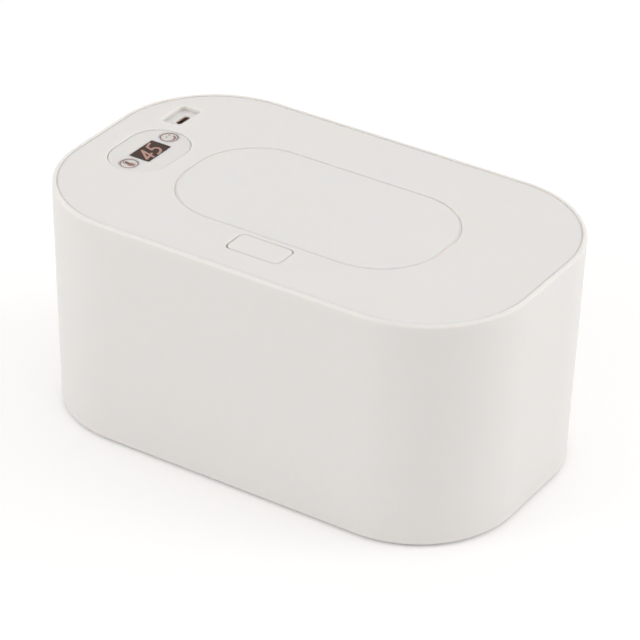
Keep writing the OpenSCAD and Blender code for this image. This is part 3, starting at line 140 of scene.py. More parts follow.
class WarmerSizes(bpy.types.PropertyGroup):
    print_proud: length("Print height", "How far printed ink stands above a key", 0.02)
    ring: length("Ring diameter", "Diameter of the printed ring on a key, over its line", 8.7)
    ring_line: length("Ring line", "Width of the printed ring", 0.55)
    mark_line: length("Symbol line", "Line width of the printed symbols", 0.42)
    digit_line: length("Digit line", "Width of the strokes of a display digit", 1.2)
    button_travel: length("Button travel", "How far the coils shorten at a full press", 2.05)
    cover_corner: length("Cover corner", "Plan radius of the corners of the top cover", 50.56)
    lid_corner: length("Lid corner", "Plan radius of the corners of the lid", 31.4)
    cover_bead: length("Cover bead", "How far the bead stands out from the cover edge", 0.26)
    lid_bead: length("Lid bead", "How far the bead stands out from the lid edge", 0.42)
    lid_bead_back: length("Lid bead at the back", "The same along the hinge side", 0.3)
    contact_pitch: length("Contact pitch", "Distance between the contacts of the port", 0.5)


class WarmerStage(bpy.types.PropertyGroup):
    ambient: factor("Ambient level", "Even light from all round", 0.80, 2.0)
    floor: colour("Floor", "Pale floor", (0.93, 0.922, 0.915))
    floor_lift: factor("Floor lift", "How much whiter the floor looks than the light on it", 0.13)
    left_light: power("Left light", "Power of the left softbox", 7.5)
    right_light: power("Right light", "Power of the right softbox", 8.4)
    top_light: power("Top light", "Power of the top softbox", 3.0)
    azimuth: angle("Camera azimuth", "Direction from the front towards the right", 32.13)
    elevation: angle("Camera elevation", "Height of the camera above the level", 30.93)
    roll: angle("Camera roll", "Tilt of the frame", 1.40)
    distance: length("Camera distance", "From the lens to the middle of the case", 1483.0)
    aim_height: length("Aim height", "Height of the point in the middle of the view", 57.9)
    lens: FloatProperty(
        name="Lens", description="Focal length on a 36 mm sensor", default=183.15, min=1.0
    )
    shift_x: shift("Shift across", "Framing shift across", 0.00925)
    shift_y: shift("Shift up", "Framing shift up", -0.01266)


# Finishes: node materials, with their scales counted per metre of the object

class Finish:
    """A material under construction, with short calls for the nodes that every finish here uses."""

    def __init__(self, name):
        self.material = bpy.data.materials.new(name)
        self.material.use_nodes = True
        self.tree = self.material.node_tree
        self.tree.nodes.clear()
        self.shader = self.node("ShaderNodeBsdfPrincipled")
        out = self.node("ShaderNodeOutputMaterial")
        self.link(self.shader.outputs["BSDF"], out.inputs["Surface"])
        self.place = self.node("ShaderNodeTexCoord").outputs["Object"]

    def node(self, kind, **settings):
        """A new node with its settings, such as its operation or feature."""
        made = self.tree.nodes.new(kind)
        for key, value in settings.items():
            setattr(made, key, value)
        return made

    def link(self, source, target):
        self.tree.links.new(source, target)

    def put(self, **values):
        """Sets shader sockets; the underscores in their names stand for spaces."""
        for key, value in values.items():
            self.shader.inputs[key.replace("_", " ")].default_value = value

    def stretched(self, scale):
        """Object coordinates with a scale for each axis, for grain that has a direction."""
        mapping = self.node("ShaderNodeMapping")
        mapping.inputs["Scale"].default_value = scale
        self.link(self.place, mapping.inputs["Vector"])
        return mapping.outputs["Vector"]

    def noise(self, scale, detail=2.0, rough=0.5, vector=None):
        noise = self.node("ShaderNodeTexNoise")
        noise.inputs["Scale"].default_value = scale
        noise.inputs["Detail"].default_value = detail
        noise.inputs["Roughness"].default_value = rough
        self.link(vector or self.place, noise.inputs["Vector"])
        return noise.outputs["Fac"]

    def cells(self, scale):
        cells = self.node("ShaderNodeTexVoronoi", feature="F1")
        cells.inputs["Scale"].default_value = scale
        self.link(self.place, cells.inputs["Vector"])
        return cells.outputs["Distance"]

    def bands(self, scale, direction, distortion=0.0):
        wave = self.node("ShaderNodeTexWave", wave_type="BANDS", bands_direction=direction)
        wave.inputs["Scale"].default_value = scale
        wave.inputs["Distortion"].default_value = distortion
        self.link(self.place, wave.inputs["Vector"])
        return wave.outputs["Fac"]

    def ranged(self, value, low, high, start=0.0, end=1.0):
        """The value, spread from its stretch between start and end to low and high."""
        mapped = self.node("ShaderNodeMapRange")
        limits = {"From Min": start, "From Max": end, "To Min": low, "To Max": high}
        for key, number in limits.items():
            mapped.inputs[key].default_value = number
        self.link(value, mapped.inputs["Value"])
        return mapped.outputs["Result"]

    def sums(self, operation, first, second):
        """One step of arithmetic on two values, each a number or a socket."""
        sums = self.node("ShaderNodeMath", operation=operation)
        for socket, value in zip(sums.inputs, (first, second)):
            if isinstance(value, (int, float)):
                socket.default_value = value
            else:
                self.link(value, socket)
        return sums.outputs["Value"]

    def blend(self, first, second, by):
        """Mixes two colours, each a tuple or a socket, by a value from 0 to 1."""
        mix = self.node("ShaderNodeMix", data_type="RGBA")
        sockets = [s for s in mix.inputs if s.type == "RGBA"]
        for socket, value in zip(sockets, (first, second)):
            if isinstance(value, tuple):
                socket.default_value = (*value, 1.0)
            else:
                self.link(value, socket)
        self.link(by, next(s for s in mix.inputs if s.type == "VALUE"))
        return next(s for s in mix.outputs if s.type == "RGBA")

    def colour(self, source):
        self.link(source, self.shader.inputs["Base Color"])

    def rough(self, source):
        self.link(source, self.shader.inputs["Roughness"])

    def bump(self, height, distance, strength=1.0):
        bump = self.node("ShaderNodeBump")
        bump.inputs["Distance"].default_value = distance
        bump.inputs["Strength"].default_value = strength
        self.link(height, bump.inputs["Height"])
        self.link(bump.outputs["Normal"], self.shader.inputs["Normal"])


def shade(tint, by):
    """The tint made lighter or darker by a factor."""
    return tuple(max(0.0, min(1.0, c * by)) for c in tint)


def satin_moulding(name, tint, gloss=0.46, grain=1900.0, depth=0.000012):
    """White moulded plastic: a fine sparked grain, faint flow mottling and an uneven satin gloss.

    A little light passes under its skin, so that narrow seams stay soft.
    """
    made = Finish(name)
    flow = made.noise(11.0, 3.0, 0.55)
    speck = made.noise(grain * 0.45, 2.0, 0.6)
    mottled = made.blend(shade(tint, 0.985), shade(tint, 1.012), flow)
    fleck = made.ranged(speck, 0.0, 0.16, 0.56, 0.82)
    made.colour(made.blend(mottled, shade(tint, 0.93), fleck))
    made.rough(made.ranged(made.noise(75.0, 3.0), gloss - 0.05, gloss + 0.06))
    made.bump(made.noise(grain, 3.0, 0.65), depth)
    made.put(IOR=1.47, Subsurface_Weight=1.0, Subsurface_Scale=0.0026)
    made.put(Subsurface_Radius=(1.0, 0.85, 0.7))
    return made.material


def soft_silicone(name, tint):
    """Moulded silicone: slightly cloudy, with a matt skin and a little dust in its pores."""
    made = Finish(name)
    cloud = made.noise(38.0, 4.0, 0.6)
    dust = made.ranged(made.noise(620.0, 2.0), 0.0, 0.35, 0.55, 0.8)
    body = made.blend(shade(tint, 0.94), shade(tint, 1.05), cloud)
    made.colour(made.blend(body, shade(tint, 1.18), dust))
    made.rough(made.ranged(made.noise(140.0), 0.48, 0.62))
    made.bump(made.noise(1500.0, 2.0), 0.000015)
    made.put(Subsurface_Weight=0.12, Subsurface_Scale=0.0015, IOR=1.41)
    return made.material


def cell_foam(name, tint):
    """Closed-cell foam: fine bubbles, darker where the cells are cut open."""
    made = Finish(name)
    cell = made.cells(780.0)
    big = made.cells(260.0)
    fine, coarse = made.ranged(cell, 0.0, 0.7, 0.0, 0.7), made.ranged(big, 0.0, 0.3, 0.0, 0.7)
    depth = made.sums("ADD", fine, coarse)
    made.colour(made.blend(shade(tint, 1.12), shade(tint, 0.72), depth))
    made.bump(depth, 0.00025, 0.8)
    made.put(Roughness=0.92, Sheen_Weight=0.15)
    return made.material


def foot_rubber(name, tint):
    """Matt rubber with a moulded pebble and pale dust."""
    made = Finish(name)
    pebble = made.cells(900.0)
    dust = made.ranged(made.noise(95.0, 4.0, 0.7), 0.0, 0.5, 0.52, 0.75)
    made.colour(made.blend(tint, shade(tint, 2.2), dust))
    made.rough(made.ranged(dust, 0.62, 0.85))
    made.bump(pebble, 0.00006)
    return made.material


def plated_steel(name, tint, gloss=0.3, lines=(220.0, 2600.0, 2600.0)):
    """Drawn or plated steel with fine drawing lines and small dull patches."""
    made = Finish(name)
    streak = made.noise(1.0, 3.0, 0.6, made.stretched(lines))
    patch = made.noise(420.0, 3.0)
    made.colour(made.blend(shade(tint, 0.86), shade(tint, 1.12), streak))
    made.rough(made.ranged(patch, gloss - 0.08, gloss + 0.16))
    made.bump(streak, 0.000006)
    made.put(Metallic=1.0)
    return made.material


def brushed_sheet(name, tint):
    """Rolled aluminium sheet, brushed along its length, with faint rub marks."""
    made = Finish(name)
    brush = made.noise(1.0, 4.0, 0.7, made.stretched((22.0, 2400.0, 2400.0)))
    rub = made.ranged(made.noise(30.0, 5.0, 0.65), 0.0, 1.0, 0.42, 0.62)
    made.colour(made.blend(shade(tint, 0.84), shade(tint, 1.1), brush))
    made.rough(made.ranged(made.sums("ADD", brush, made.sums("MULTIPLY", rub, 0.4)), 0.26, 0.52))
    made.bump(brush, 0.000008)
    made.put(Metallic=1.0, Anisotropic=0.4)
    return made.material


def heating_film(name, film, track, middle, half):
    """Clear amber film over an etched track that runs to and fro along the plate."""
    track_margin, turn_width = 6 * MM, 3 * MM
    made = Finish(name)
    rows = made.ranged(made.bands(58.0, "Y"), 0.0, 1.0, 0.42, 0.50)
    apart = made.node("ShaderNodeSeparateXYZ")
    made.link(made.place, apart.inputs["Vector"])
    across = made.sums("ABSOLUTE", made.sums("SUBTRACT", apart.outputs["X"], middle.x), 0.0)
    inside = made.sums("LESS_THAN", across, half.x - track_margin)
    turns = made.sums("GREATER_THAN", across, half.x - track_margin - turn_width)
    track_lines = made.sums("MAXIMUM", rows, made.sums("MULTIPLY", turns, 0.9))
    lines = made.sums("MULTIPLY", track_lines, inside)
    body = made.blend(shade(film, 0.9), shade(film, 1.12), made.noise(45.0, 3.0))
    made.colour(made.blend(body, track, lines))
    made.rough(made.ranged(made.noise(260.0), 0.16, 0.3))
    made.bump(lines, 0.00004)
    made.put(Coat_Weight=0.4, Coat_Roughness=0.12)
    return made.material


def needled_felt(name, tint):
    """Needle-punched felt: crossed fibres and a soft nap."""
    made = Finish(name)
    fibres = made.sums(
        "MAXIMUM",
        made.noise(1.0, 4.0, 0.7, made.stretched((260.0, 1900.0, 900.0))),
        made.noise(1.0, 4.0, 0.7, made.stretched((1900.0, 300.0, 900.0))),
    )
    nap = made.ranged(fibres, 0.0, 1.0, 0.4, 0.75)
    made.colour(made.blend(shade(tint, 0.55), shade(tint, 1.9), nap))
    made.bump(fibres, 0.0003, 0.9)
    made.put(Roughness=0.95, Sheen_Weight=0.4)
    return made.material


def solder_mask(name, tint):
    """Circuit board: copper runs that show through a glossy mask."""
    made = Finish(name)
    gate = made.ranged(made.noise(160.0, 0.0), 0.0, 1.0, 0.48, 0.52)
    back = made.sums("SUBTRACT", 1.0, gate)
    along = made.sums("MULTIPLY", made.ranged(made.bands(225.0, "X"), 0.0, 1.0, 0.62, 0.72), gate)
    across = made.sums("MULTIPLY", made.ranged(made.bands(225.0, "Y"), 0.0, 1.0, 0.62, 0.72), back)
    runs = made.sums("MAXIMUM", along, across)
    made.colour(made.blend(tint, shade(tint, 2.1), runs))
    made.rough(made.ranged(made.noise(500.0), 0.22, 0.34))
    made.bump(runs, 0.00003)
    made.put(Coat_Weight=0.25, Coat_Roughness=0.15)
    return made.material


def moulded_black(name, tint, gloss=0.5):
    """Filled black moulding, as on chips, switches and the display body."""
    made = Finish(name)
    fill = made.noise(1600.0, 3.0, 0.7)
    speck = made.ranged(fill, 0.0, 1.0, 0.4, 0.75)
    made.colour(made.blend(shade(tint, 0.8), shade(tint, 1.7), speck))
    made.rough(made.ranged(fill, gloss - 0.06, gloss + 0.1))
    made.bump(fill, 0.00001)
    return made.material


def polished_window(name, tint):
    """Smoked window: a hard polished face with the faintest wave and a few fine wipe marks."""
    made = Finish(name)
    streak = made.noise(1.0, 5.0, 0.75, made.stretched((900.0, 120.0, 900.0)))
    wipe = made.ranged(streak, 0.0, 1.0, 0.5, 0.8)
    made.colour(made.blend(tint, shade(tint, 1.25), made.noise(120.0)))
    made.rough(made.ranged(wipe, 0.10, 0.24))
    made.bump(made.noise(150.0), 0.000012)
    made.put(Specular_IOR_Level=0.12, IOR=1.49)
    return made.material


def screen_ink(name, tint, glow=0.0):
    """Printed or lit line: ink with a slight mottle at its own scale."""
    made = Finish(name)
    mottle = made.noise(2400.0, 2.0)
    made.colour(made.blend(shade(tint, 0.92), shade(tint, 1.08), mottle))
    made.rough(made.ranged(mottle, 0.5, 0.62))
    made.bump(mottle, 0.000004)
    made.put(Specular_IOR_Level=0.3)
    if glow:
        made.put(Emission_Color=(*tint, 1.0), Emission_Strength=glow)
    return made.material


def lead_sleeve(name, tint):
    """Soft sleeve of a lead, with a faint twist of the strands under it."""
    made = Finish(name)
    twist = made.bands(190.0, "DIAGONAL", 1.5)
    made.colour(made.blend(shade(tint, 0.85), shade(tint, 1.15), made.noise(300.0, 3.0)))
    made.rough(made.ranged(made.noise(700.0), 0.38, 0.52))
    made.bump(twist, 0.00003, 0.5)
    return made.material


def contact_gold(name, tint):
    """Thin gold plate over nickel, worn a little where a plug rubs."""
    made = Finish(name)
    nickel = (0.60, 0.55, 0.45)
    streak = made.noise(1.0, 3.0, 0.6, made.stretched((2000.0, 2000.0, 300.0)))
    rub = made.ranged(streak, 0.0, 1.0, 0.5, 0.8)
    made.colour(made.blend(tint, nickel, rub))
    made.rough(made.ranged(rub, 0.2, 0.38))
    made.put(Metallic=1.0)
    return made.material


def finish(nodes, material):
    """Gives each named CAD node the material, in all of its own slots."""
    for name in nodes:
        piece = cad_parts[name]
        if not piece.material_slots:
            piece.data.materials.append(material)
        for slot in piece.material_slots:
            slot.link = "OBJECT"
            slot.material = material


# Small pieces made in mesh code

def ribbon(mesh, left, right, low, high, closed=False):
    """A thin solid band between two lines of plan points.

    low and high are functions that give the heights of its two faces over a point.
    """
    rows = [[mesh.verts.new((p[0], p[1], face(p))) for p in line]
            for line, face in ((left, high), (right, high), (right, low), (left, low))]
    count = len(left)
    steps = range(count if closed else count - 1)
    for i in steps:
        j = (i + 1) % count
        for k in range(4):
            a, b = rows[k], rows[(k + 1) % 4]
            mesh.faces.new((a[i], b[i], b[j], a[j]))
    if not closed:
        mesh.faces.new([row[0] for row in reversed(rows)])
        mesh.faces.new([row[-1] for row in rows])


def plate(mesh, outline, low, high):
    """A flat plate with the given plan outline."""
    bottom = [mesh.verts.new((p[0], p[1], low)) for p in outline]
    top = [mesh.verts.new((p[0], p[1], high)) for p in outline]
    mesh.faces.new(list(reversed(bottom)))
    mesh.faces.new(top)
    for i in range(len(outline)):
        j = (i + 1) % len(outline)
        mesh.faces.new((bottom[i], bottom[j], top[j], top[i]))


def new_piece(name, mesh, body, material):
    """Turns mesh code into an object that rides on a body."""
    bmesh.ops.recalc_face_normals(mesh, faces=mesh.faces)
    data = bpy.data.meshes.new(name)
    mesh.to_mesh(data)
    mesh.free()
    data.materials.append(material)
    piece = bpy.data.objects.new(name, data)
    bpy.context.scene.collection.objects.link(piece)
    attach(piece, body)
    return piece


def arc(centre, radius, start, end, steps):
    """Points along an arc, from one angle in degrees to another."""
    return [
        (centre[0] + radius * math.cos(math.radians(start + (end - start) * i / steps)),
         centre[1] + radius * math.sin(math.radians(start + (end - start) * i / steps)))
        for i in range(steps + 1)
    ]


def rounded(half, corner_radius, centre, grow):
    """Plan points of a rounded rectangle grown by a margin, from its front right corner on."""
    corner_steps = 28
    across, along = half.x - corner_radius, half.y - corner_radius
    points = []
    for sx, sy, start in ((1, -1, -90), (1, 1, 0), (-1, 1, 90), (-1, -1, 180)):
        corner = (centre.x + sx * across, centre.y + sy * along)
        points += arc(corner, corner_radius + grow, start, start + 90, corner_steps)
    return points


def rounded_line(start, end, width):
    """Outline of a straight line with round ends."""
    end_steps = 8
    turned = math.degrees(math.atan2(end[1] - start[1], end[0] - start[0]))
    first = arc(start, width / 2, turned + 90, turned + 270, end_steps)
    return first + arc(end, width / 2, turned - 90, turned + 90, end_steps)


def stroke(points, width):
    """The two sides of a line of the given width."""
    left, right = [], []
    for i, p in enumerate(points):
        before, after = points[max(i - 1, 0)], points[min(i + 1, len(points) - 1)]
        way = Vector((after[0] - before[0], after[1] - before[1])).normalized() * width / 2
        left.append((p[0] - way.y, p[1] + way.x))
        right.append((p[0] + way.y, p[1] - way.x))
    return left, right


def key_print(name, node, body, lines, sizes, ink, ringed=True):
    """Prints lines, drawn upright in millimetres, on the dished top of a key, inside a ring."""
    low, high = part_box(node)
    centre = (low + high) / 2
    panel_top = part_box("control_panel")[1].z
    dish_radius, dish, ring_steps = 40 * MM, 0.35 * MM, 72

    def spot(p):
        """Place of a drawn point on the key; the symbols' top is towards -X."""
        return (centre.x - p[1] * MM, centre.y + p[0] * MM)

    def face(lift):
        """Height of the dished key top over a point, raised by the lift."""
        return lambda p: panel_top - dish + lift + (
            (p[0] - centre.x) ** 2 + (p[1] - centre.y) ** 2) / (2 * dish_radius)

    mesh = bmesh.new()
    under, over = face(-sizes.print_proud), face(sizes.print_proud)
    if ringed:
        radius = sizes.ring / 2 / MM
        inner = radius - sizes.ring_line / MM
        outer_ring, inner_ring = (
            [spot(p) for p in arc((0, 0), size, 0, 360, ring_steps)[:-1]]
            for size in (radius, inner)
        )
        ribbon(mesh, outer_ring, inner_ring, under, over, closed=True)
    for left, right in lines:
        ribbon(mesh, [spot(p) for p in left], [spot(p) for p in right], under, over)
    new_piece(name, mesh, body, ink)


# Operators

class FinishTub(bpy.types.Operator):
    """Give the outer shell and the inner tub their moulded whites"""
    bl_idname = "wipe_warmer.tub"
    bl_label = "Shell and inner tub"

    def execute(self, context):
        colours = context.scene.warmer_colours
        liner = satin_moulding("liner_satin", tuple(colours.inside), gloss=0.4, grain=1500.0)
        finish(["outer_shell"], satin_moulding("shell_satin", tuple(colours.case)))
        finish(["inner_tub"], liner)
        return {"FINISHED"}


class FinishInsulation(bpy.types.Operator):
    """Give the foam between the shell and the inner tub its cells"""
    bl_idname = "wipe_warmer.insulation"
    bl_label = "Insulating foam"

    def execute(self, context):
        foam = tuple(context.scene.warmer_colours.foam)
        finish(["foam_wrap", "foam_floor"], cell_foam("insulation_foam", foam))
        return {"FINISHED"}


class FinishFeet(bpy.types.Operator):
    """Give the foot pads their pebbled rubber"""
    bl_idname = "wipe_warmer.feet"
    bl_label = "Foot pads"

    def execute(self, context):
        rubber = tuple(context.scene.warmer_colours.rubber)
        finish(["foot_pads"], foot_rubber("foot_rubber", rubber))
        return {"FINISHED"}


class FinishCover(bpy.types.Operator):
    """Give the top cover, the well and the tray under them their moulded whites"""
    bl_idname = "wipe_warmer.cover"
    bl_label = "Cover, well and tray"

    def execute(self, context):
        colours = context.scene.warmer_colours
        inside = tuple(colours.inside)
        plain = satin_moulding("tray_plain", shade(inside, 0.96), gloss=0.5, grain=1300.0)
        finish(["top_cover"], satin_moulding("cover_satin", tuple(colours.case)))
        finish(["lid_well"], satin_moulding("well_satin", inside, gloss=0.42))
        finish(["under_cover"], plain)
        return {"FINISHED"}


class AddSeamBeads(bpy.types.Operator):
    """Add the soft pale beads that close the seams of the cover and the lid; their colour, lighter
    and warmer than the case, is painted light in the seams
    """
    bl_idname = "wipe_warmer.seam_beads"
    bl_label = "Seam beads"

    def execute(self, context):
        sizes = context.scene.warmer_sizes
        # Painted light: the beads take a colour lighter and warmer than the case, so the seams they
        # fill look less shaded.
        pale = soft_silicone("bead_silicone_painted_light", tuple(context.scene.warmer_colours.bead))
        cover_drop, lid_drop = 0.4 * MM, 0.5 * MM
        even = (sizes.cover_bead, sizes.cover_bead)
        slimmer = (sizes.lid_bead, sizes.lid_bead_back)
        self.bead("top_cover", "cover", sizes.cover_corner, even, cover_drop, pale)
        self.bead("lid_cap", "lid", sizes.lid_corner, slimmer, lid_drop, pale)
        return {"FINISHED"}

    @staticmethod
    def bead(part, body, corner_radius, proud, drop, material):
        """Bead round the edge of a part, just below its top.

        proud holds how far it stands out in general and along the back, where a lid swings; it
        changes from one to the other where the edge turns to the back.
        """
        height, bite, turns_from = 0.4 * MM, 0.4 * MM, 0.6
        low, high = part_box(part)
        centre, half = (low + high) / 2, (high - low) / 2
        wide, slim = (rounded(half, corner_radius, centre, grow) for grow in proud)
        inner = rounded(half, corner_radius, centre, -bite)
        outer = []
        for (wx, wy), (sx, sy), (ix, iy) in zip(wide, slim, inner):
            backward = (wy - iy) / math.hypot(wx - ix, wy - iy)
            share = min(max((backward - turns_from) / (1 - turns_from), 0.0), 1.0)
            outer.append((wx + share * (sx - wx), wy + share * (sy - wy)))
        top = high.z - drop
        mesh = bmesh.new()
        ribbon(mesh, outer, inner, lambda p: top - height, lambda p: top, closed=True)
        new_piece(part + "_edge_bead", mesh, body, material)


class FinishLid(bpy.types.Operator):
    """Give the lid cap and its liner their moulded whites"""
    bl_idname = "wipe_warmer.lid"
    bl_label = "Lid and its liner"

    def execute(self, context):
        colours = context.scene.warmer_colours
        finish(["lid_cap"], satin_moulding("lid_satin", tuple(colours.case)))
        inside = tuple(colours.inside)
        finish(["lid_liner"], satin_moulding("lid_liner_satin", inside, gloss=0.42))
        return {"FINISHED"}


class FinishSeals(bpy.types.Operator):
    """Give the mouth insert and the two gaskets their soft silicone"""
    bl_idname = "wipe_warmer.seals"
    bl_label = "Mouth insert and gaskets"

    def execute(self, context):
        silicone = tuple(context.scene.warmer_colours.silicone)
        finish(["wipe_mouth"], soft_silicone("mouth_silicone", silicone))
        finish(["lid_seal", "cover_seal"], soft_silicone("gasket_silicone", shade(silicone, 1.12)))
        return {"FINISHED"}


class FinishRelease(bpy.types.Operator):
    """Give the release button, the latch and its housing their mouldings"""
    bl_idname = "wipe_warmer.release"
    bl_label = "Release button and latch"

    def execute(self, context):
        colours = context.scene.warmer_colours
        inside = tuple(colours.inside)
        acetal = satin_moulding("latch_acetal", shade(inside, 0.9), gloss=0.3, grain=900.0)
        plain = satin_moulding("housing_plain", shade(inside, 0.96), gloss=0.5, grain=1300.0)
        finish(["release_button"], satin_moulding("button_satin", tuple(colours.case)))
        finish(["latch_slide"], acetal)
        finish(["latch_housing"], plain)
        return {"FINISHED"}


class FinishSteel(bpy.types.Operator):
    """Give the screws, the hinge pin, the springs and the clips their steels"""
    bl_idname = "wipe_warmer.steel"
    bl_label = "Screws, pin, springs and clips"

    def execute(self, context):
        steel = tuple(context.scene.warmer_colours.steel)
        even, along = (900.0, 900.0, 900.0), (60.0, 3000.0, 3000.0)
        zinc = plated_steel("zinc_plate", steel, gloss=0.34, lines=even)
        ground = plated_steel("ground_pin", shade(steel, 1.05), gloss=0.2, lines=along)
        wire = plated_steel("spring_wire", shade(steel, 0.85), gloss=0.26)
        screws = ["tub_screws", "cover_screws", "well_screws", "latch_screws", "board_screws"]
        finish(screws, zinc)
        finish(["hinge_pin"], ground)
        finish(["lid_springs", "button_springs"], wire)
        finish(["heater_clips"], plated_steel("clip_strip", steel))
        return {"FINISHED"}


class AddButtonCoils(bpy.types.Operator):
    """Add a copy of the coils under the release button that rides on the cover, and hide the
    original coils
    """
    bl_idname = "wipe_warmer.button_coils"
    bl_label = "Button springs"

    def execute(self, context):
        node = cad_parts["button_springs"]
        mesh = bmesh.new()
        mesh.from_mesh(node.data)
        mesh.transform(node.matrix_world)
        wire = node.material_slots[0].material
        coils = new_piece("button_coils", mesh, "cover", wire)
        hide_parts("button_springs")
        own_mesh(coils)
        return {"FINISHED"}


class FinishHeater(bpy.types.Operator):
    """Give the heated plate, its film, pad, sensor and fuse their finishes"""
    bl_idname = "wipe_warmer.heater"
    bl_label = "Heater"

    def execute(self, context):
        colours = context.scene.warmer_colours
        low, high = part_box("heater_film")
        middle, half = (low + high) / 2, (high - low) / 2
        amber, track = tuple(colours.amber), tuple(colours.track)
        film = heating_film("heating_film", amber, track, middle, half)
        aluminium = tuple(colours.aluminium)
        finish(["heater_plate"], brushed_sheet("heater_sheet", aluminium))
        finish(["heater_film"], film)
        finish(["heat_pad"], needled_felt("heater_felt", tuple(colours.felt)))
        finish(["thermistor"], moulded_black("sensor_epoxy", tuple(colours.sensor), gloss=0.2))
        can = plated_steel("fuse_can", aluminium, lines=(150.0, 2200.0, 2200.0))
        finish(["thermal_fuse"], can)
        return {"FINISHED"}


class FinishPanel(bpy.types.Operator):
    """Give the control panel, its keys and the display their finishes"""
    bl_idname = "wipe_warmer.panel"
    bl_label = "Panel, keys and display"

    def execute(self, context):
        colours = context.scene.warmer_colours
        panel = tuple(colours.panel)
        plate_white = satin_moulding("panel_satin", panel, gloss=0.44, grain=2300.0)
        # Painted shade: the keys are darkened to 0.91 of the panel's colour, standing in for the
        # shading on their dished tops.
        key_white_painted_shade = satin_moulding("key_satin_painted_shade", shade(panel, 0.91), gloss=0.4)
        finish(["control_panel"], plate_white)
        finish(["heat_key", "night_key"], key_white_painted_shade)
        finish(["display_window"], polished_window("smoked_window", tuple(colours.window)))
        finish(["display_module"], moulded_black("display_body", tuple(colours.module)))
        return {"FINISHED"}


class AddDigits(bpy.types.Operator):
    """Add the two lit digits to the face of the smoked window"""
    bl_idname = "wipe_warmer.digits"
    bl_label = "Display digits"

    def execute(self, context):
        line = context.scene.warmer_sizes.digit_line / MM
        low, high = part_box("display_window")
        centre = (low + high) / 2
        sunk, lift, stagger, glow = 0.01, 0.015, 0.001, 0.06
        mesh = bmesh.new()
        for points in (*self.four(), self.five()):
            for start, end in zip(points, points[1:]):
                drawn = rounded_line(start, end, line)
                outline = [(centre.x - p[1] * MM, centre.y + p[0] * MM) for p in drawn]
                plate(mesh, outline, high.z - sunk * MM, high.z + lift * MM)
                lift += stagger
        ink = screen_ink("digit_glow", tuple(context.scene.warmer_colours.digits), glow)
        new_piece("display_digits", mesh, "cover", ink)
        return {"FINISHED"}

    # Centre lines in millimetres from the middle of the window; a digit's top is towards -X

    @staticmethod
    def four():
        """An open sloping 4: its diagonal with the crossbar, and its stem."""
        apex, corner, bar_end, foot = (-1.8, 3.3), (-7.2, -3.25), (-1.6, -1.9), (-3.7, -4.5)
        return (apex, corner, bar_end), (apex, foot)

    @staticmethod
    def five():
        """A sloping 5: top bar, short upright and a round bowl."""
        bar, corner, neck = (5.9, 4.5), (2.35, 3.5), (1.35, 0.1)
        bowl = [
            (3.0, 0.35), (4.1, -0.4), (4.45, -1.6), (4.0, -2.9),
            (2.9, -3.9), (1.3, -4.5), (-0.2, -4.6),
        ]
        return bar, corner, neck, *bowl


class AddKeyPrints(bpy.types.Operator):
    """Add the printed rings and symbols on the heat key and the night key"""
    bl_idname = "wipe_warmer.key_prints"
    bl_label = "Key prints"

    def execute(self, context):
        colours = context.scene.warmer_colours
        sizes = context.scene.warmer_sizes
        ink = screen_ink("key_ink", tuple(colours.print_ink))
        dark = screen_ink("column_ink", tuple(colours.column_ink))
        line = sizes.mark_line / MM
        heat = ("heat_key", "heat_key_cap")
        key_print("heat_key_print", *heat, self.thermometer(line), sizes, ink)
        column = [stroke([(0.15, 0.15), (0.25, 2.3)], 2 * line)]
        key_print("heat_key_column", *heat, column, sizes, dark, ringed=False)
        key_print("night_key_print", "night_key", "night_key_cap", self.moon(), sizes, ink)
        return {"FINISHED"}

    @staticmethod
    def thermometer(line):
        """Thermometer with a filled bulb, standing over a short bar."""
        half, bulb, low, high = 0.8, 1.3, -0.9, 2.4
        open_at = math.degrees(math.asin(half / bulb))
        outline = arc((0, low), bulb, 90 + open_at, 450 - open_at, 24)
        outline += arc((0.2, high), half, 0, 180, 10)
        outline.append(outline[0])
        fill = arc((0, low), bulb * 0.8, 0, 360, 20)
        return [
            stroke(outline, line),
            ([(0, low)] * len(fill), fill),
            stroke([(-1.2, -3.2), (1.6, -2.3)], line),
        ]

    @staticmethod
    def moon():
        """Crescent moon, open towards the top, with two stars over it."""
        steps, star = 36, 0.45
        outer = arc((0, -0.1), 3.0, 165, 352, steps)
        inner = arc((-0.35, 0.5), 2.75, 172, 340, steps)
        inner[0] = outer[0]
        inner[-1] = outer[-1]
        shapes = [(outer, inner)]
        for centre in ((-0.1, 1.4), (2.2, 1.4)):
            rim = arc(centre, star, 0, 360, 12)
            shapes.append(([centre] * len(rim), rim))
        return shapes


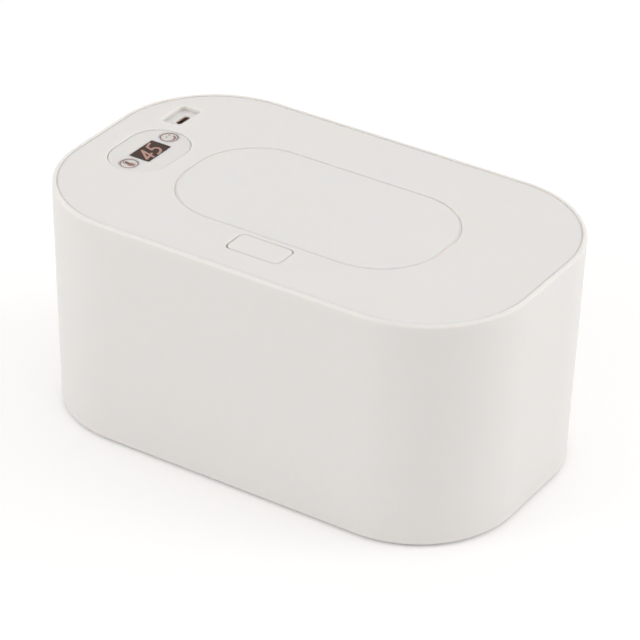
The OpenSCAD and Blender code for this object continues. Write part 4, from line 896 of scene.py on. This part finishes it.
class FinishPort(bpy.types.Operator):
    """Give the charging port its steel and black, and add its gold contacts"""
    bl_idname = "wipe_warmer.port"
    bl_label = "Charging port"

    def execute(self, context):
        colours = context.scene.warmer_colours
        sizes = context.scene.warmer_sizes
        # Painted light: the shell and tongue colours are lightened so the shaded slot reads
        # lighter.
        shell, tongue = tuple(colours.port_shell_painted_light), tuple(colours.port_tongue_painted_light)
        finish(["usb_shell"], plated_steel("port_shell_painted_light", shell, gloss=0.34))
        finish(["usb_tongue"], moulded_black("port_tongue_painted_light", tongue, gloss=0.42))
        self.contacts(sizes, contact_gold("contact_gold", tuple(colours.gold)))
        return {"FINISHED"}

    @staticmethod
    def contacts(sizes, gold):
        """Gold contacts on both faces of the tongue; two pairs a side are set back."""
        count, short_ones = 12, (3, 4, 7, 8)
        long, wide, proud, half_tongue = 3.6 * MM, 0.28 * MM, 0.02 * MM, 0.35 * MM
        bare_tip, set_back = 0.45 * MM, 0.5 * MM
        low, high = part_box("usb_tongue")
        centre = (low + high) / 2
        top = high.z - bare_tip
        mesh = bmesh.new()
        for side in (-1, 1):
            for i in range(count):
                y = centre.y + (i - (count - 1) / 2) * sizes.contact_pitch
                x0, x1 = sorted(centre.x + side * (half_tongue + d) for d in (-proud, proud))
                y0, y1 = y - wide / 2, y + wide / 2
                gap = set_back if i in short_ones else 0.0
                corners = [(x0, y0), (x1, y0), (x1, y1), (x0, y1)]
                plate(mesh, corners, top - long, top - gap)
        new_piece("port_contacts", mesh, "cover", gold)


class FinishBoards(bpy.types.Operator):
    """Give the circuit boards and what is soldered to them their finishes"""
    bl_idname = "wipe_warmer.boards"
    bl_label = "Circuit boards"

    def execute(self, context):
        colours = context.scene.warmer_colours
        mask = solder_mask("solder_mask", tuple(colours.board))
        finish(["main_board", "display_board", "usb_board"], mask)
        finish(["controller_chip"], moulded_black("chip_package", tuple(colours.chip), gloss=0.46))
        finish(["tact_switches"], moulded_black("switch_body", tuple(colours.switch)))
        finish(["power_coil"], moulded_black("coil_ferrite", tuple(colours.ferrite), gloss=0.6))
        ivory = satin_moulding("socket_ivory", tuple(colours.socket), gloss=0.5, grain=1400.0)
        finish(["lead_sockets"], ivory)
        return {"FINISHED"}


class FinishLeads(bpy.types.Operator):
    """Give the leads inside the cover their sleeves"""
    bl_idname = "wipe_warmer.leads"
    bl_label = "Leads"

    def execute(self, context):
        colours = context.scene.warmer_colours
        finish(["power_lead"], lead_sleeve("sleeve_black", tuple(colours.lead_black)))
        finish(["signal_lead"], lead_sleeve("sleeve_grey", tuple(colours.lead_grey)))
        finish(["heater_leads"], lead_sleeve("sleeve_red", tuple(colours.lead_red)))
        return {"FINISHED"}


class SetStage(bpy.types.Operator):
    """Set the pale floor, the soft studio light, the white surround and the camera"""
    bl_idname = "wipe_warmer.stage"
    bl_label = "Stage and camera"

    def execute(self, context):
        stage = context.scene.warmer_stage
        side_size, top_size = 1.4, 1.6
        context.scene.view_settings.view_transform = "Standard"
        self.surround(context.scene, stage)
        self.floor(stage)
        self.softbox("softbox_left", stage.left_light, side_size, (-1.25, -1.50, 0.95))
        self.softbox("softbox_right", stage.right_light, side_size, (1.60, 0.95, 0.75))
        self.softbox("softbox_top", stage.top_light, top_size, (0.1, 0.2, 2.1))
        self.camera(context.scene, stage)
        return {"FINISHED"}

    @staticmethod
    def seen(tree):
        """A value that is 1 for what the camera, a mirror or a clear piece sees."""
        path = tree.nodes.new("ShaderNodeLightPath")
        value = path.outputs["Is Camera Ray"]
        for name in ("Is Glossy Ray", "Is Transmission Ray"):
            join = tree.nodes.new("ShaderNodeMath")
            join.operation = "MAXIMUM"
            tree.links.new(value, join.inputs[0])
            tree.links.new(path.outputs[name], join.inputs[1])
            value = join.outputs["Value"]
        return value

    def surround(self, scene, stage):
        """Even light from all round, which the camera sees as plain white."""
        world = bpy.data.worlds.new("white_surround")
        world.use_nodes = True
        tree = world.node_tree
        tree.nodes.clear()
        out = tree.nodes.new("ShaderNodeOutputWorld")
        light = tree.nodes.new("ShaderNodeBackground")
        shown = tree.nodes.new("ShaderNodeBackground")
        mix = tree.nodes.new("ShaderNodeMixShader")
        light.inputs["Color"].default_value = (1.0, 0.995, 0.985, 1.0)
        light.inputs["Strength"].default_value = stage.ambient
        shown.inputs["Color"].default_value = (1.0, 1.0, 1.0, 1.0)
        shown.inputs["Strength"].default_value = 1.0
        tree.links.new(self.seen(tree), mix.inputs["Fac"])
        tree.links.new(light.outputs["Background"], mix.inputs[1])
        tree.links.new(shown.outputs["Background"], mix.inputs[2])
        tree.links.new(mix.outputs["Shader"], out.inputs["Surface"])
        scene.world = world

    def floor(self, stage):
        """Matt floor that takes the shadow and looks nearly white to the camera."""
        floor_radius = 6.0
        material = bpy.data.materials.new("pale_floor")
        material.use_nodes = True
        tree = material.node_tree
        tree.nodes.clear()
        out = tree.nodes.new("ShaderNodeOutputMaterial")
        matt = tree.nodes.new("ShaderNodeBsdfDiffuse")
        lift = tree.nodes.new("ShaderNodeEmission")
        level = tree.nodes.new("ShaderNodeMath")
        total = tree.nodes.new("ShaderNodeAddShader")
        matt.inputs["Color"].default_value = (*stage.floor, 1.0)
        level.operation = "MULTIPLY"
        level.inputs[1].default_value = stage.floor_lift
        tree.links.new(self.seen(tree), level.inputs[0])
        tree.links.new(level.outputs["Value"], lift.inputs["Strength"])
        tree.links.new(matt.outputs["BSDF"], total.inputs[0])
        tree.links.new(lift.outputs["Emission"], total.inputs[1])
        tree.links.new(total.outputs["Shader"], out.inputs["Surface"])
        mesh = bmesh.new()
        bmesh.ops.create_circle(mesh, cap_ends=True, segments=96, radius=floor_radius)
        data = bpy.data.meshes.new("floor")
        mesh.to_mesh(data)
        mesh.free()
        data.materials.append(material)
        floor = bpy.data.objects.new("floor", data)
        bpy.context.scene.collection.objects.link(floor)

    @staticmethod
    def softbox(name, level, size, spot):
        """Round area light that faces the middle of the case."""
        case_middle = Vector((0.0, 0.0, 0.06))
        data = bpy.data.lights.new(name, "AREA")
        data.shape = "DISK"
        data.size = size
        data.energy = level
        lamp = bpy.data.objects.new(name, data)
        lamp.location = spot
        aim = case_middle - Vector(spot)
        lamp.rotation_euler = aim.to_track_quat("-Z", "Y").to_euler()
        bpy.context.scene.collection.objects.link(lamp)

    @staticmethod
    def camera(scene, stage):
        """Camera on a sphere round the aim point, turned by the roll about its line of sight."""
        across, up = stage.azimuth, stage.elevation
        level = math.cos(up)
        back = Vector((math.sin(across) * level, -math.cos(across) * level, math.sin(up)))
        right = Vector((math.cos(across), math.sin(across), 0.0))
        over = back.cross(right)
        turn_right = right * math.cos(stage.roll) + over * math.sin(stage.roll)
        turn_up = over * math.cos(stage.roll) - right * math.sin(stage.roll)
        place = Vector((0.0, 0.0, stage.aim_height)) + back * stage.distance
        data = bpy.data.cameras.new("product_camera")
        data.lens = stage.lens
        data.sensor_width = 36.0
        data.shift_x = stage.shift_x
        data.shift_y = stage.shift_y
        data.clip_end = 50.0
        camera = bpy.data.objects.new("product_camera", data)
        scene.collection.objects.link(camera)
        matrix = camera.matrix_world.copy()
        for column, axis in enumerate((turn_right, turn_up, back, place)):
            for row in range(3):
                matrix[row][column] = axis[row]
        camera.matrix_world = matrix
        scene.camera = camera


GROUPS = {
    "warmer_colours": WarmerColours,
    "warmer_sizes": WarmerSizes,
    "warmer_stage": WarmerStage,
}
STEPS = (
    FinishTub, FinishInsulation, FinishFeet, FinishCover, AddSeamBeads, FinishLid, FinishSeals,
    FinishRelease, FinishSteel, AddButtonCoils, FinishHeater, FinishPanel, AddDigits, AddKeyPrints,
    FinishPort, FinishBoards, FinishLeads, SetStage,
)


class WarmerPanel(bpy.types.Panel):
    """Lists the steps that finish the wipe warmer"""
    bl_idname = "VIEW3D_PT_wipe_warmer"
    bl_label = "Wipe warmer"
    bl_space_type = "VIEW_3D"
    bl_region_type = "UI"
    bl_category = "Wipe warmer"

    def draw(self, context):
        for group in GROUPS:
            settings = getattr(context.scene, group)
            box = self.layout.box()
            for name in settings.__annotations__:
                box.prop(settings, name)
        for step in STEPS:
            self.layout.operator(step.bl_idname)


CLASSES = (*GROUPS.values(), *STEPS, WarmerPanel)


def register():
    for item in CLASSES:
        bpy.utils.register_class(item)
    for name, group in GROUPS.items():
        setattr(bpy.types.Scene, name, PointerProperty(type=group))


def unregister():
    for name in GROUPS:
        delattr(bpy.types.Scene, name)
    for item in reversed(CLASSES):
        bpy.utils.unregister_class(item)


def main():
    """Runs every step in order."""
    register()
    for step in STEPS:
        group, name = step.bl_idname.split(".")
        getattr(getattr(bpy.ops, group), name)()


if __name__ == "__main__":
    main()
